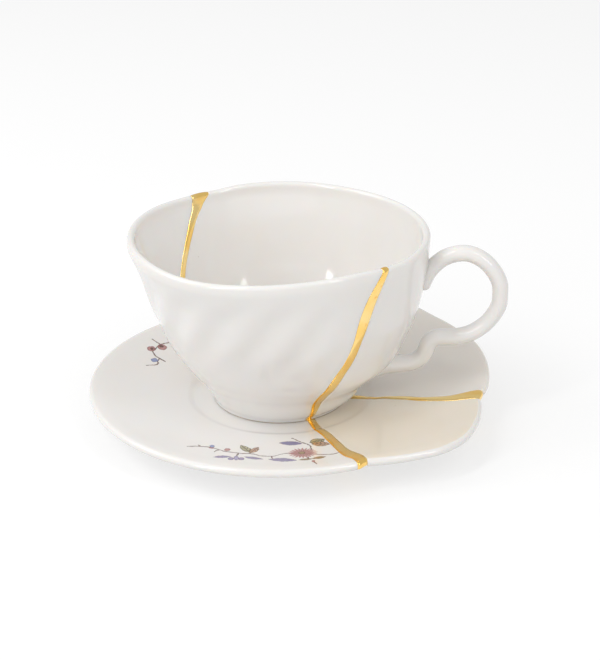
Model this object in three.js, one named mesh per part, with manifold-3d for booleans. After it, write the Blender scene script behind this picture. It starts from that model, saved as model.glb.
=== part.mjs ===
// Kintsugi cup and saucer: two mended vessels made of shards of different wares joined by gold.
// Millimetres, +Z up, the handle points along +X, bearings run from -Y towards +X.

import * as THREE from 'three';
import { mergeVertices } from 'three/addons/utils/BufferGeometryUtils.js';
import Module from 'manifold-3d';

const wasm = await Module();
wasm.setup();

// Cup sizes
const CUP_HEIGHT = 65.6;
const RIM_RADIUS = 55.0;
const CUP_FOOT_RADIUS = 25.2;
const CUP_WALL = 2.7;
const CUP_FLOOR = 3.4;
const FOOT_RECESS = 2.4;
const FOOT_LAND = 3.0;
const FLUTE_COUNT = 18;
const FLUTE_DEPTH = 0.45;
const FLUTE_LEAN = 50.0;

// Handle sizes
const HANDLE_ROD = 5.9;
const HANDLE_STRAP = 1.15;

// Saucer sizes
const SAUCER_RADIUS = 71.9;
const SAUCER_WALL = 2.9;
const WELL_ROOM = 5.6;
const WELL_STEP = 4.2;
const WELL_HEIGHT = 7.5;
const SAUCER_FOOT_OUT = 5.0;
const SAUCER_FOOT_LAND = 2.6;

// Clearances
const SEAM_GAP = 0.3;
const REST_GAP = 0.3;

// Height share, wall share on the fluted side, wall share on the plain side
const WALL = [
  [0.012, 0.000, 0.000],
  [0.038, 0.030, 0.094],
  [0.076, 0.068, 0.175],
  [0.137, 0.155, 0.256],
  [0.213, 0.289, 0.437],
  [0.305, 0.430, 0.634],
  [0.412, 0.571, 0.742],
  [0.534, 0.679, 0.850],
  [0.671, 0.770, 0.925],
  [0.793, 0.852, 0.967],
  [0.884, 0.936, 0.988],
  [0.945, 0.990, 0.997],
];

// Height share, front seam bearing and width, back seam bearing and width
const CUP_SEAM = [
  [-0.06, 31.0, 1.7, 257.0, 2.6],
  [0.045, 31.0, 1.7, 257.0, 2.6],
  [0.091, 31.0, 2.2, 257.0, 2.6],
  [0.152, 30.6, 2.9, 256.4, 2.6],
  [0.213, 30.2, 3.2, 255.6, 2.6],
  [0.305, 32.0, 3.3, 254.0, 2.6],
  [0.396, 34.4, 3.2, 251.6, 2.6],
  [0.473, 36.8, 2.9, 249.2, 2.5],
  [0.587, 38.9, 2.7, 243.7, 2.5],
  [0.747, 41.3, 3.8, 234.8, 2.4],
  [0.846, 43.5, 3.6, 229.5, 2.7],
  [0.938, 46.7, 2.7, 224.2, 4.4],
  [1.000, 49.1, 1.9, 222.2, 7.1],
  [1.080, 50.0, 1.6, 221.6, 7.8],
];

// Bearing, outward swell and lift of the rim
const RIM_WAVE = [
  [-133, 0.0, -0.9],
  [-111, 0.0, -0.2],
  [-94, 0.0, 0.0],
  [-60, 0.2, -0.2],
  [-28, 0.7, -0.8],
  [-1, 0.0, 0.0],
  [15, -0.6, 0.6],
  [37, -1.0, 1.1],
  [50, -0.4, 0.5],
  [62, 0.0, 0.1],
  [90, 0.0, 0.0],
  [150, 0.0, 0.1],
  [180, 0.2, 0.4],
  [203, 0.0, 0.0],
  [215, -0.2, -0.8],
  [227, 0.0, -0.9],
];

// Handle centreline: height share of the cup, distance outside the plain wall, thickness share
const HANDLE_LINE = [
  [0.676, -0.3, 0.80],
  [0.722, -0.1, 0.90],
  [0.768, 0.5, 0.96],
  [0.805, 1.6, 1.00],
  [0.837, 3.3, 1.00],
  [0.868, 5.6, 1.00],
  [0.892, 9.3, 1.00],
  [0.898, 13.5, 1.00],
  [0.882, 17.1, 1.00],
  [0.847, 20.8, 1.00],
  [0.784, 24.7, 1.00],
  [0.725, 27.0, 1.00],
  [0.664, 28.1, 1.00],
  [0.604, 28.7, 1.00],
  [0.543, 28.1, 1.00],
  [0.479, 26.5, 1.00],
  [0.421, 23.0, 1.02],
  [0.397, 18.7, 1.03],
  [0.391, 14.6, 1.03],
  [0.386, 11.6, 1.04],
  [0.368, 10.2, 1.05],
  [0.337, 9.9, 1.05],
  [0.305, 10.4, 1.05],
  [0.268, 11.1, 1.04],
  [0.240, 10.9, 1.04],
  [0.224, 9.4, 1.06],
  [0.215, 6.8, 1.10],
  [0.212, 2.8, 1.22],
  [0.211, -1.4, 1.36],
];

// Bearing, radius share and lip height above the well floor of each saucer shard
const FLOWERED_EDGE = [[180, 1.0, 6.4], [388, 1.0, 6.4]];
const CREAM_EDGE = [
  [28, 0.968, 6.4],
  [37, 1.025, 6.5],
  [45, 1.078, 6.7],
  [52, 1.124, 7.0],
  [59, 1.139, 7.3],
  [67, 1.121, 7.7],
  [75, 1.089, 8.1],
  [83, 1.050, 8.5],
];
const PLAIN_EDGE = [
  [78, 1.062, 8.6],
  [83, 1.068, 8.7],
  [88, 1.086, 8.9],
  [93, 1.094, 9.1],
  [103, 1.110, 9.5],
  [113, 1.120, 9.9],
  [123, 1.110, 10.2],
  [133, 1.110, 10.3],
  [145, 1.136, 10.2],
  [160, 1.120, 9.4],
  [178, 1.060, 8.0],
];
const GOLD_EDGE = [
  [20, 0.990, 6.5],
  [36, 0.990, 6.5],
  [72, 1.058, 8.4],
  [88, 1.068, 8.8],
  [160, 1.045, 7.6],
  [200, 1.015, 7.2],
];

// Saucer joints: radius share, bearing and width, out from the meeting point
const JOINT_MEET = [0.071, 85.0];
const FRONT_JOINT = [
  [0.205, 41.0, 2.2],
  [0.342, 33.6, 2.2],
  [0.430, 31.5, 2.4],
  [0.480, 31.0, 2.6],
  [0.549, 31.0, 2.7],
  [0.610, 30.4, 2.8],
  [0.704, 29.7, 2.9],
  [0.817, 29.0, 3.2],
  [0.880, 29.3, 3.9],
  [0.938, 30.1, 3.4],
  [0.996, 29.8, 3.3],
  [1.300, 29.4, 3.6],
];
const RIGHT_JOINT = [
  [0.230, 88.0, 2.2],
  [0.377, 88.0, 2.2],
  [0.422, 88.3, 2.0],
  [0.466, 87.0, 1.3],
  [0.512, 85.1, 0.9],
  [0.547, 85.2, 1.0],
  [0.598, 84.5, 1.8],
  [0.658, 83.6, 2.2],
  [0.750, 81.6, 2.3],
  [0.840, 80.9, 2.8],
  [0.900, 80.5, 3.3],
  [0.970, 81.0, 4.3],
  [1.046, 81.7, 5.8],
  [1.300, 82.4, 7.4],
];
const BACK_JOINT = [
  [0.200, 168.0, 2.4],
  [0.400, 174.0, 2.6],
  [0.600, 172.5, 2.4],
  [0.800, 175.0, 2.8],
  [0.950, 176.5, 3.6],
  [1.300, 177.0, 4.4],
];

const SPAN = 360;
const CUP_BASE = WELL_HEIGHT + REST_GAP;
const LIP = CUP_WALL / 2;

/** Reads a column of a table at a position, with rounded steps between the rows. */
function column(table, at, index, turning = false) {
  let spot = at;
  const first = table[0][0];
  const last = table[table.length - 1][0];
  if (turning) {
    while (spot < first) spot += SPAN;
    while (spot >= first + SPAN) spot -= SPAN;
  }
  if (spot <= first) return table[0][index];
  if (spot >= last) {
    if (!turning) return table[table.length - 1][index];
    const back = (spot - last) / (first + SPAN - last);
    const ease = back * back * (3 - 2 * back);
    return THREE.MathUtils.lerp(table[table.length - 1][index], table[0][index], ease);
  }
  const row = table.findIndex((entry) => entry[0] > spot);
  const low = table[row - 1];
  const high = table[row];
  const share = (spot - low[0]) / (high[0] - low[0]);
  return THREE.MathUtils.lerp(low[index], high[index], share);
}

/** A point at a radius, bearing and height. */
function place(radius, bearing, height) {
  const angle = THREE.MathUtils.degToRad(bearing);
  return new THREE.Vector3(radius * Math.sin(angle), -radius * Math.cos(angle), height);
}

/** Share of the plain ware in the cup's form at a bearing. */
function plainShare(bearing) {
  return 0.5 + 0.5 * Math.sin(THREE.MathUtils.degToRad(bearing - 7));
}

/** Outer radius of the cup at a height share and bearing, without the flutes. */
function wallRadius(share, bearing) {
  const mix = plainShare(bearing);
  const swell = column(RIM_WAVE, bearing, 1, true) * Math.max(0, share) ** 3;
  const form = THREE.MathUtils.lerp(column(WALL, share, 1), column(WALL, share, 2), mix);
  return CUP_FOOT_RADIUS + (RIM_RADIUS - CUP_FOOT_RADIUS) * form + swell;
}

/** Outward swell of the swirling flutes. */
function fluteSwell(share, bearing) {
  const rise = THREE.MathUtils.smoothstep(share, 0.34, 0.62);
  const fade = 1 - THREE.MathUtils.smoothstep(share, 0.76, 0.94);
  const turn = THREE.MathUtils.euclideanModulo(bearing + 180, SPAN) - 180;
  const side = 1 - THREE.MathUtils.smoothstep(turn, 10, 40);
  const phase = FLUTE_COUNT * (bearing - FLUTE_LEAN * share + 3.0);
  return FLUTE_DEPTH * rise * fade * side * Math.cos(THREE.MathUtils.degToRad(phase));
}

/** A closed solid from a geometry: shared corners, no flat triangles, facing out. */
function solid(geometry) {
  const bare = new THREE.BufferGeometry();
  bare.setAttribute('position', geometry.getAttribute('position'));
  bare.setIndex(geometry.getIndex());
  const joined = mergeVertices(bare, 1e-4);
  const index = joined.getIndex().array;
  const points = joined.getAttribute('position').array;
  const kept = [];
  let volume = 0;
  const a = new THREE.Vector3();
  const b = new THREE.Vector3();
  const c = new THREE.Vector3();
  for (let i = 0; i < index.length; i += 3) {
    const [p, q, r] = [index[i], index[i + 1], index[i + 2]];
    if (p === q || q === r || p === r) continue;
    kept.push(p, q, r);
    a.fromArray(points, 3 * p);
    b.fromArray(points, 3 * q);
    c.fromArray(points, 3 * r);
    volume += a.dot(b.cross(c));
  }
  if (volume < 0) {
    for (let i = 0; i < kept.length; i += 3) {
      [kept[i + 1], kept[i + 2]] = [kept[i + 2], kept[i + 1]];
    }
  }
  const mesh = new wasm.Mesh({
    numProp: 3,
    vertProperties: new Float32Array(points),
    triVerts: new Uint32Array(kept),
  });
  return new wasm.Manifold(mesh);
}

/** Turns rows of points about the upright axis; each row gives its place from a bearing. */
function turned(rows, segments) {
  const outline = rows.map((row) => new THREE.Vector2(...row(0)));
  const geometry = new THREE.LatheGeometry(outline, segments);
  const position = geometry.getAttribute('position');
  for (let i = 0; i <= segments; i += 1) {
    const bearing = (i % segments) * (SPAN / segments);
    rows.forEach((row, j) => {
      const [radius, height] = row(bearing);
      const spot = place(radius, bearing, height);
      position.setXYZ(i * rows.length + j, spot.x, spot.y, spot.z);
    });
  }
  return solid(geometry);
}

/** The whole cup bowl with its lip, floor and foot ring. */
function cupBody(segments, fluted) {
  const lift = (share, bearing) => {
    const wave = column(RIM_WAVE, bearing, 2, true);
    return CUP_BASE + CUP_HEIGHT * share + wave * Math.max(0, share) ** 3;
  };
  const outer = (share) => (bearing) => {
    const flutes = fluted ? fluteSwell(share, bearing) : 0;
    return [wallRadius(share, bearing) + flutes, lift(share, bearing)];
  };
  const lip = (angle) => (bearing) => {
    const centre = wallRadius(1, bearing) - LIP;
    const turn = THREE.MathUtils.degToRad(angle);
    const top = lift(1, bearing) - LIP;
    return [centre + LIP * Math.cos(turn), top + LIP * Math.sin(turn)];
  };
  const slope = (share, bearing) => {
    const step = 0.02;
    const run = wallRadius(share + step, bearing) - wallRadius(share - step, bearing);
    return Math.hypot(1, run / (2 * step * CUP_HEIGHT));
  };
  const inner = (share) => (bearing) => {
    const wall = CUP_WALL * slope(share, bearing) ** 1.15;
    return [wallRadius(share, bearing) - wall, lift(share, bearing)];
  };
  const floor = FOOT_RECESS + CUP_FLOOR;
  const base = wallRadius(0, 0);
  const ring = (radius, height) => () => [radius, CUP_BASE + height];
  const shares = WALL.map((row) => row[0]);
  return turned([
    ring(0, FOOT_RECESS),
    ring(base - FOOT_LAND - 1.6, FOOT_RECESS),
    ring(base - FOOT_LAND - 0.5, 0.5),
    ring(base - FOOT_LAND, 0),
    ring(base - 0.7, 0),
    ...shares.map(outer),
    lip(0),
    lip(45),
    lip(90),
    lip(135),
    lip(180),
    ...shares.slice(4).reverse().map(inner),
    (bearing) => [0.94 * inner(shares[3])(bearing)[0], CUP_BASE + floor + 1.8],
    (bearing) => [0.80 * inner(shares[3])(bearing)[0], CUP_BASE + floor + 0.5],
    (bearing) => [0.60 * inner(shares[3])(bearing)[0], CUP_BASE + floor],
    ring(0, floor),
  ], segments);
}

/** The space inside the middle of the cup wall, used to trim the handle's roots. */
function cupCore() {
  const rows = WALL.map(([share]) => (bearing) => (
    [wallRadius(share, bearing) - CUP_WALL / 2, CUP_BASE + CUP_HEIGHT * share]
  ));
  return turned([
    () => [0, CUP_BASE],
    () => [wallRadius(0, 0) - CUP_WALL, CUP_BASE],
    ...rows,
    () => [0, CUP_BASE + CUP_HEIGHT],
  ], 60);
}

/** A box bent so that its depth climbs the rows of the seam table. */
function bent(widthSteps, map) {
  const rows = CUP_SEAM.length - 1;
  const geometry = new THREE.BoxGeometry(1, 1, 1, widthSteps, 4, rows);
  const position = geometry.getAttribute('position');
  for (let i = 0; i < position.count; i += 1) {
    const row = CUP_SEAM[Math.round((position.getZ(i) + 0.5) * rows)];
    const spot = map(row, position.getX(i), position.getY(i) + 0.5);
    position.setXYZ(i, spot.x, spot.y, CUP_BASE + CUP_HEIGHT * row[0]);
  }
  return solid(geometry);
}

/** One seam of the cup as an upright sheet of gold from the axis outwards. */
function cupRibbon(index, room) {
  return bent(1, (row, x, y) => {
    const width = row[index + 1] + 2 * room;
    const out = place(-width / 2 + y * 1.3 * RIM_RADIUS, row[index], 0);
    const side = place(x * width, row[index] + 90, 0);
    return out.add(side);
  });
}

/** The side of the cup between the two seams, through the handle. */
function cupSide() {
  return bent(16, (row, x, y) => {
    const bearing = THREE.MathUtils.lerp(row[1], row[3], x + 0.5);
    return place(y * 1.25 * RIM_RADIUS, bearing, 0);
  });
}

/** The handle: a rod bent along its centreline, thinner at its upper tail. */
function handle() {
  const points = HANDLE_LINE.map(([share, out]) => (
    new THREE.Vector3(wallRadius(share, 90) + out, 0, CUP_BASE + CUP_HEIGHT * share)
  ));
  const line = new THREE.CatmullRomCurve3(points, false, 'centripetal');
  const steps = HANDLE_LINE.length - 1;
  const geometry = new THREE.CylinderGeometry(1, 1, 1, 10, 36);
  const position = geometry.getAttribute('position');
  for (let i = 0; i < position.count; i += 1) {
    const even = position.getY(i) + 0.5;
    const along = even - 0.05 * Math.sin(2 * Math.PI * even);
    const row = Math.min(steps - 1, Math.floor(along * steps));
    const thick = THREE.MathUtils.lerp(
      HANDLE_LINE[row][2], HANDLE_LINE[row + 1][2], along * steps - row);
    const tip = Math.sqrt(1 - (1 - Math.min(1, 0.08 + along * 30)) ** 2);
    const radius = (HANDLE_ROD / 2) * thick * tip;
    const spot = line.getPoint(along);
    const tangent = line.getTangent(along);
    const up = new THREE.Vector3(-tangent.z, 0, tangent.x);
    spot.addScaledVector(up, position.getX(i) * radius);
    spot.y += position.getZ(i) * radius * HANDLE_STRAP;
    position.setXYZ(i, spot.x, spot.y, spot.z);
  }
  return solid(geometry);
}

/** A whole saucer body whose edge follows a table of bearings. */
function saucerBody(edge, segments) {
  const well = CUP_FOOT_RADIUS + WELL_ROOM;
  const ringRadius = well + WELL_STEP;
  const footRadius = ringRadius + SAUCER_FOOT_OUT;
  const under = WELL_HEIGHT - SAUCER_WALL;
  const half = SAUCER_WALL / 2;
  const start = edge[0][0];
  const middle = start + (edge[edge.length - 1][0] - start) / 2;
  const reach = (bearing) => {
    let spot = bearing;
    while (spot < middle - SPAN / 2) spot += SPAN;
    while (spot >= middle + SPAN / 2) spot -= SPAN;
    return [SAUCER_RADIUS * column(edge, spot, 1), WELL_HEIGHT + column(edge, spot, 2)];
  };
  const top = (share, rise) => (bearing) => {
    const [radius, lipTop] = reach(bearing);
    const low = WELL_HEIGHT + 0.8;
    return [
      THREE.MathUtils.lerp(ringRadius, radius - half, share),
      THREE.MathUtils.lerp(low, lipTop, rise),
    ];
  };
  const bottom = (share, rise) => (bearing) => {
    const [radius, lipTop] = reach(bearing);
    return [
      THREE.MathUtils.lerp(footRadius, radius - half, share),
      THREE.MathUtils.lerp(under + 0.9, lipTop - SAUCER_WALL, rise),
    ];
  };
  const lip = (angle) => (bearing) => {
    const [radius, lipTop] = reach(bearing);
    const turn = THREE.MathUtils.degToRad(angle);
    return [radius - half + half * Math.cos(turn), lipTop - half + half * Math.sin(turn)];
  };
  const flat = (radius, height) => () => [radius, height];
  return turned([
    flat(0, under),
    flat(footRadius - SAUCER_FOOT_LAND - 1.6, under),
    flat(footRadius - SAUCER_FOOT_LAND - 0.6, 0.6),
    flat(footRadius - SAUCER_FOOT_LAND, 0),
    flat(footRadius - 0.5, 0),
    flat(footRadius, 0.5),
    bottom(0, 0),
    bottom(0.35, 0.30),
    bottom(0.72, 0.68),
    lip(-70),
    lip(-30),
    lip(10),
    lip(50),
    lip(90),
    top(0.93, 0.94),
    top(0.80, 0.78),
    top(0.55, 0.49),
    top(0.27, 0.23),
    flat(ringRadius, WELL_HEIGHT + 0.8),
    flat(well + 0.45 * WELL_STEP, WELL_HEIGHT + 0.15),
    flat(well, WELL_HEIGHT),
    flat(0, WELL_HEIGHT),
  ], segments);
}

/** An upright ribbon along a joint of the saucer, wider by a room on each side. */
function saucerRibbon(joint, room) {
  const meet = place(SAUCER_RADIUS * JOINT_MEET[0], JOINT_MEET[1], 0);
  const line = [meet, ...joint.map(([share, bearing]) => (
    place(SAUCER_RADIUS * share, bearing, 0)
  ))];
  const widths = [joint[0][2], ...joint.map((row) => row[2])];
  const left = [];
  const right = [];
  line.forEach((spot, i) => {
    const ahead = line[Math.min(i + 1, line.length - 1)];
    const behind = line[Math.max(i - 1, 0)];
    const along = ahead.clone().sub(behind).normalize();
    const side = new THREE.Vector3(-along.y, along.x, 0);
    const start = i === 0 ? spot.clone().addScaledVector(along, -widths[0] / 2 - room) : spot;
    const half = widths[i] / 2 + room;
    left.push(start.clone().addScaledVector(side, half));
    right.push(start.clone().addScaledVector(side, -half));
  });
  return upright([...left, ...right.reverse()]);
}

/** A plan outline raised through the full height of the saucer. */
function upright(corners) {
  const shape = new THREE.Shape(corners.map((spot) => new THREE.Vector2(spot.x, spot.y)));
  const depth = 4 * WELL_HEIGHT;
  const geometry = new THREE.ExtrudeGeometry(shape, { depth, bevelEnabled: false });
  geometry.translate(0, 0, -WELL_HEIGHT);
  return solid(geometry);
}

/** The plan area between two joints, from the first bearing onwards to the second. */
function saucerSide(from, to) {
  const corner = ([share, bearing]) => place(SAUCER_RADIUS * share, bearing, 0);
  const meet = corner(JOINT_MEET);
  const first = from[from.length - 1][1];
  let last = to[to.length - 1][1];
  if (last < first) last += SPAN;
  const reach = SAUCER_RADIUS * from[from.length - 1][0];
  const arc = [];
  const steps = Math.ceil((last - first) / 15);
  for (let i = 1; i < steps; i += 1) {
    arc.push(place(1.1 * reach, THREE.MathUtils.lerp(first, last, i / steps), 0));
  }
  return upright([meet, ...from.map(corner), ...arc, ...to.map(corner).reverse()]);
}

/** Turns a joined solid into a named mesh with its finish. */
function piece(name, body, finish) {
  const mesh = body.getMesh();
  const geometry = new THREE.BufferGeometry();
  const points = [];
  for (let i = 0; i < mesh.vertProperties.length; i += mesh.numProp) {
    points.push(mesh.vertProperties[i], mesh.vertProperties[i + 1], mesh.vertProperties[i + 2]);
  }
  geometry.setAttribute('position', new THREE.Float32BufferAttribute(points, 3));
  geometry.setIndex([...mesh.triVerts]);
  const plain = geometry.toNonIndexed();
  plain.computeVertexNormals();
  const result = new THREE.Mesh(plain, finish);
  result.name = name;
  return result;
}

const WHITE_GLAZE = new THREE.MeshStandardMaterial({
  color: 0xf1eeea, roughness: 0.18, metalness: 0,
});
const CREAM_GLAZE = new THREE.MeshStandardMaterial({
  color: 0xece3cc, roughness: 0.2, metalness: 0,
});
const GOLD = new THREE.MeshStandardMaterial({
  color: 0xe0b04a, roughness: 0.24, metalness: 1,
});

const cupSeams = (room) => cupRibbon(1, room).add(cupRibbon(3, room));
const cupCut = cupSeams(SEAM_GAP);
const side = cupSide();
const fluted = cupBody(72, true);
const smooth = cupBody(52, false);
const rod = handle().subtract(cupCore());
const cupFluted = fluted.subtract(side).subtract(cupCut);
const cupPlain = smooth.intersect(side).subtract(cupCut).add(rod);
const cupGold = cupBody(44, false).intersect(cupSeams(0));

const joints = [FRONT_JOINT, RIGHT_JOINT, BACK_JOINT];
const allJoints = (room) => joints
  .map((joint) => saucerRibbon(joint, room))
  .reduce((sum, next) => sum.add(next));
const saucerCut = allJoints(SEAM_GAP);
const shard = (edge, from, to) => saucerBody(edge, 52)
  .intersect(saucerSide(from, to))
  .subtract(saucerCut);
const creamShard = shard(CREAM_EDGE, FRONT_JOINT, RIGHT_JOINT);
const plainShard = shard(PLAIN_EDGE, RIGHT_JOINT, BACK_JOINT);
const floweredShard = shard(FLOWERED_EDGE, BACK_JOINT, FRONT_JOINT);
const saucerGold = saucerBody(GOLD_EDGE, 48).intersect(allJoints(0));

const object = new THREE.Group();
object.name = 'kintsugi_cup_and_saucer';
object.add(piece('cup_fluted_shard', cupFluted, WHITE_GLAZE));
object.add(piece('cup_plain_shard', cupPlain, WHITE_GLAZE));
object.add(piece('cup_gold_seam', cupGold, GOLD));
object.add(piece('saucer_flowered_shard', floweredShard, WHITE_GLAZE));
object.add(piece('saucer_cream_shard', creamShard, CREAM_GLAZE));
object.add(piece('saucer_plain_shard', plainShard, WHITE_GLAZE));
object.add(piece('saucer_gold_seam', saucerGold, GOLD));

const bounds = new THREE.Box3().setFromObject(object);
const middle = bounds.getCenter(new THREE.Vector3());
for (const mesh of object.children) {
  mesh.geometry.translate(-middle.x, -middle.y, -bounds.min.z);
}

export default object;
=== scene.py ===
"""A kintsugi cup and saucer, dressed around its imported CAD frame.

Forms are worked out in millimetres about the cup's upright axis, with bearings
that run from the front (-Y) towards the handle (+X), and placed in metres.
"""

import logging
import math
from bisect import bisect_right
from collections.abc import Callable, Sequence
from dataclasses import dataclass, field, replace
from enum import Enum

import bmesh
import bpy
from mathutils import Matrix, Vector, noise


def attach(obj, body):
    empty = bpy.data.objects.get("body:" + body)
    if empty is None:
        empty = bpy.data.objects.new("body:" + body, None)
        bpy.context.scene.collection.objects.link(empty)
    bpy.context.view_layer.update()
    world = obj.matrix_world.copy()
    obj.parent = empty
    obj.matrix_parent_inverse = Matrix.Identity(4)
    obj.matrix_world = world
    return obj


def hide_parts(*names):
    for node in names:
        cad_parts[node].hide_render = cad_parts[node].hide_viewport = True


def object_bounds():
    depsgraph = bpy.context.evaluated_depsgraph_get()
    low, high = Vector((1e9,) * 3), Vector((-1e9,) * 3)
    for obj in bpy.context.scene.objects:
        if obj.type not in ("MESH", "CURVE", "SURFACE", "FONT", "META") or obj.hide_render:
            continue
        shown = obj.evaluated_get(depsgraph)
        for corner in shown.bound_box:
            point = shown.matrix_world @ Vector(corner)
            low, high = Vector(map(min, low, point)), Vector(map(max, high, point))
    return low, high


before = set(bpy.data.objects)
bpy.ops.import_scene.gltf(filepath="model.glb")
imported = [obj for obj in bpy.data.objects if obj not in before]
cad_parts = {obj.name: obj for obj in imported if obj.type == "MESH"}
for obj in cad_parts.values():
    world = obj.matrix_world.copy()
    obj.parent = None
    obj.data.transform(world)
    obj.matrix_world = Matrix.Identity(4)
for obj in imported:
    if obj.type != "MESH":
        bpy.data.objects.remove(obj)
CAD_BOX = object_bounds()

log = logging.getLogger("kintsugi")

# One millimetre in metres, and the cup's axis in millimetres
MM = 0.001
FULL_TURN = 360.0
AXIS_X = -5.828
AXIS_Y = -2.465

ROOT = "root"

# Edges over this many degrees stay crisp
CRISP_FROM = 55.0

# How fast the gold's uneven grain changes along a seam and across it
GRAIN_PER_DEGREE = 0.9
GRAIN_ACROSS = 3.0


class Table:
    """Rows of a position and its values, read with smooth steps between them."""

    def __init__(
        self, rows: Sequence[Sequence[float]], turning: bool = False, loose: bool = False
    ) -> None:
        """Keeps the rows and works out their slopes.

        Args:
            rows: Each row's position, followed by its values.
            turning: True where the position is a bearing that comes round again.
            loose: True for a rounder line that may swing a little past its rows.
        """
        self.loose = loose
        self.start = rows[0][0]
        self.turning = turning
        kept = [tuple(row) for row in rows]
        if turning:
            before = kept[-1]
            after = kept[0]
            kept = [
                (before[0] - FULL_TURN, *before[1:]),
                *kept,
                (after[0] + FULL_TURN, *after[1:]),
            ]
        self.places = [row[0] for row in kept]
        self.rows = kept
        self.slopes = [self._slopes(k) for k in range(1, len(kept[0]))]

    def _slopes(self, column: int) -> list[float]:
        """Slopes at the rows that never overshoot between two of them.

        Args:
            column: Which value of the row, from 1.

        Returns:
            One slope for each row.
        """
        steps = [
            (b[column] - a[column]) / (b[0] - a[0])
            for a, b in zip(self.rows, self.rows[1:])
        ]
        inner = [
            (a + b) / 2 if self.loose else 0.0 if a * b <= 0 else 2 * a * b / (a + b)
            for a, b in zip(steps, steps[1:])
        ]
        return [steps[0], *inner, steps[-1]]

    def at(self, position: float, column: int = 1) -> float:
        """The value of a column at a position.

        Args:
            position: Where to read, held to the table's ends or turned into them.
            column: Which value of the row, from 1.

        Returns:
            The smoothly joined value.
        """
        spot = position
        if self.turning:
            spot = self.start + (position - self.start) % FULL_TURN
        if spot <= self.places[0]:
            return self.rows[0][column]
        if spot >= self.places[-1]:
            return self.rows[-1][column]
        high = bisect_right(self.places, spot)
        low = high - 1
        span = self.places[high] - self.places[low]
        t = (spot - self.places[low]) / span
        a, b = self.rows[low][column], self.rows[high][column]
        slopes = self.slopes[column - 1]
        return (
            (1 + 2 * t) * (1 - t) ** 2 * a
            + t * (1 - t) ** 2 * span * slopes[low]
            + t * t * (3 - 2 * t) * b
            + t * t * (t - 1) * span * slopes[high]
        )


def lerp(a: float, b: float, share: float) -> float:
    """The value that share of the way from a to b."""
    return a + (b - a) * share


def smoothstep(low: float, high: float, value: float) -> float:
    """A smooth rise from 0 at low to 1 at high."""
    t = min(1.0, max(0.0, (value - low) / (high - low)))
    return t * t * (3 - 2 * t)


def spread(low: float, high: float, count: int) -> list[float]:
    """Evenly spaced values from low to high, both ends included."""
    return [lerp(low, high, k / (count - 1)) for k in range(count)]


def bearing_point(radius: float, bearing: float) -> Vector:
    """The plan point, in millimetres, at a radius and a bearing in degrees."""
    angle = math.radians(bearing)
    return Vector((radius * math.sin(angle), -radius * math.cos(angle)))


def placed(spot: Vector, height: float) -> Vector:
    """The place in metres of a plan point and a height in millimetres."""
    return Vector(((spot.x + AXIS_X) * MM, (spot.y + AXIS_Y) * MM, height * MM))


WALL_ROWS = (
    # height share, wall share of the fluted ware, wall share of the plain ware
    (0.012, 0.000, 0.000),
    (0.038, 0.030, 0.094),
    (0.076, 0.068, 0.175),
    (0.137, 0.155, 0.256),
    (0.213, 0.289, 0.437),
    (0.305, 0.430, 0.634),
    (0.412, 0.571, 0.742),
    (0.534, 0.679, 0.850),
    (0.671, 0.770, 0.925),
    (0.793, 0.852, 0.967),
    (0.884, 0.936, 0.988),
    (0.945, 0.990, 0.997),
)

RIM_WAVE = (
    # bearing, outward swell, lift
    (-133, 0.0, -0.9),
    (-111, 0.0, -0.2),
    (-94, 0.0, 0.0),
    (-60, 0.2, -0.2),
    (-28, 0.7, -0.8),
    (-1, 0.0, 0.0),
    (15, -0.6, 0.6),
    (37, -1.0, 1.1),
    (50, -0.4, 0.5),
    (62, 0.0, 0.1),
    (90, 0.0, 0.0),
    (150, 0.0, 0.1),
    (180, 0.2, 0.4),
    (203, 0.0, 0.0),
    (215, -0.2, -0.8),
)

FRONT_SEAM = (
    # height share, bearing, width
    (-0.06, 31.0, 1.7),
    (0.045, 31.0, 1.7),
    (0.091, 31.0, 2.2),
    (0.152, 30.6, 2.9),
    (0.213, 30.2, 3.2),
    (0.305, 32.0, 3.3),
    (0.396, 34.4, 3.2),
    (0.473, 36.8, 2.9),
    (0.587, 38.9, 2.7),
    (0.747, 41.3, 3.8),
    (0.846, 43.5, 3.6),
    (0.938, 46.7, 2.7),
    (1.000, 49.1, 1.9),
    (1.080, 50.0, 1.6),
)

BACK_SEAM = (
    # height share, bearing, width
    (-0.06, 257.0, 2.6),
    (0.091, 257.0, 2.6),
    (0.152, 256.4, 2.6),
    (0.213, 255.6, 2.6),
    (0.305, 254.0, 2.6),
    (0.396, 251.6, 2.6),
    (0.473, 249.2, 2.5),
    (0.587, 243.7, 2.5),
    (0.747, 234.8, 2.4),
    (0.846, 229.5, 2.7),
    (0.938, 224.2, 4.4),
    (1.000, 222.2, 7.1),
    (1.080, 221.6, 7.8),
)

HANDLE_LINE = (
    # height share, distance outside the wall, thickness share
    (0.676, -0.3, 0.80),
    (0.722, -0.1, 0.90),
    (0.768, 0.5, 0.96),
    (0.805, 1.6, 1.00),
    (0.837, 3.3, 1.00),
    (0.868, 5.6, 1.00),
    (0.892, 9.3, 1.00),
    (0.898, 13.5, 1.00),
    (0.882, 17.1, 1.00),
    (0.847, 20.8, 1.00),
    (0.784, 24.7, 1.00),
    (0.725, 27.0, 1.00),
    (0.664, 28.1, 1.00),
    (0.604, 28.7, 1.00),
    (0.543, 28.1, 1.00),
    (0.479, 26.5, 1.00),
    (0.421, 23.0, 1.02),
    (0.397, 18.7, 1.03),
    (0.391, 14.6, 1.03),
    (0.386, 11.6, 1.04),
    (0.368, 10.2, 1.05),
    (0.337, 9.9, 1.05),
    (0.305, 10.4, 1.05),
    (0.268, 11.1, 1.04),
    (0.240, 10.9, 1.04),
    (0.224, 9.4, 1.06),
    (0.215, 6.8, 1.10),
    (0.212, 2.8, 1.22),
    (0.211, -1.4, 1.36),
)

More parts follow.
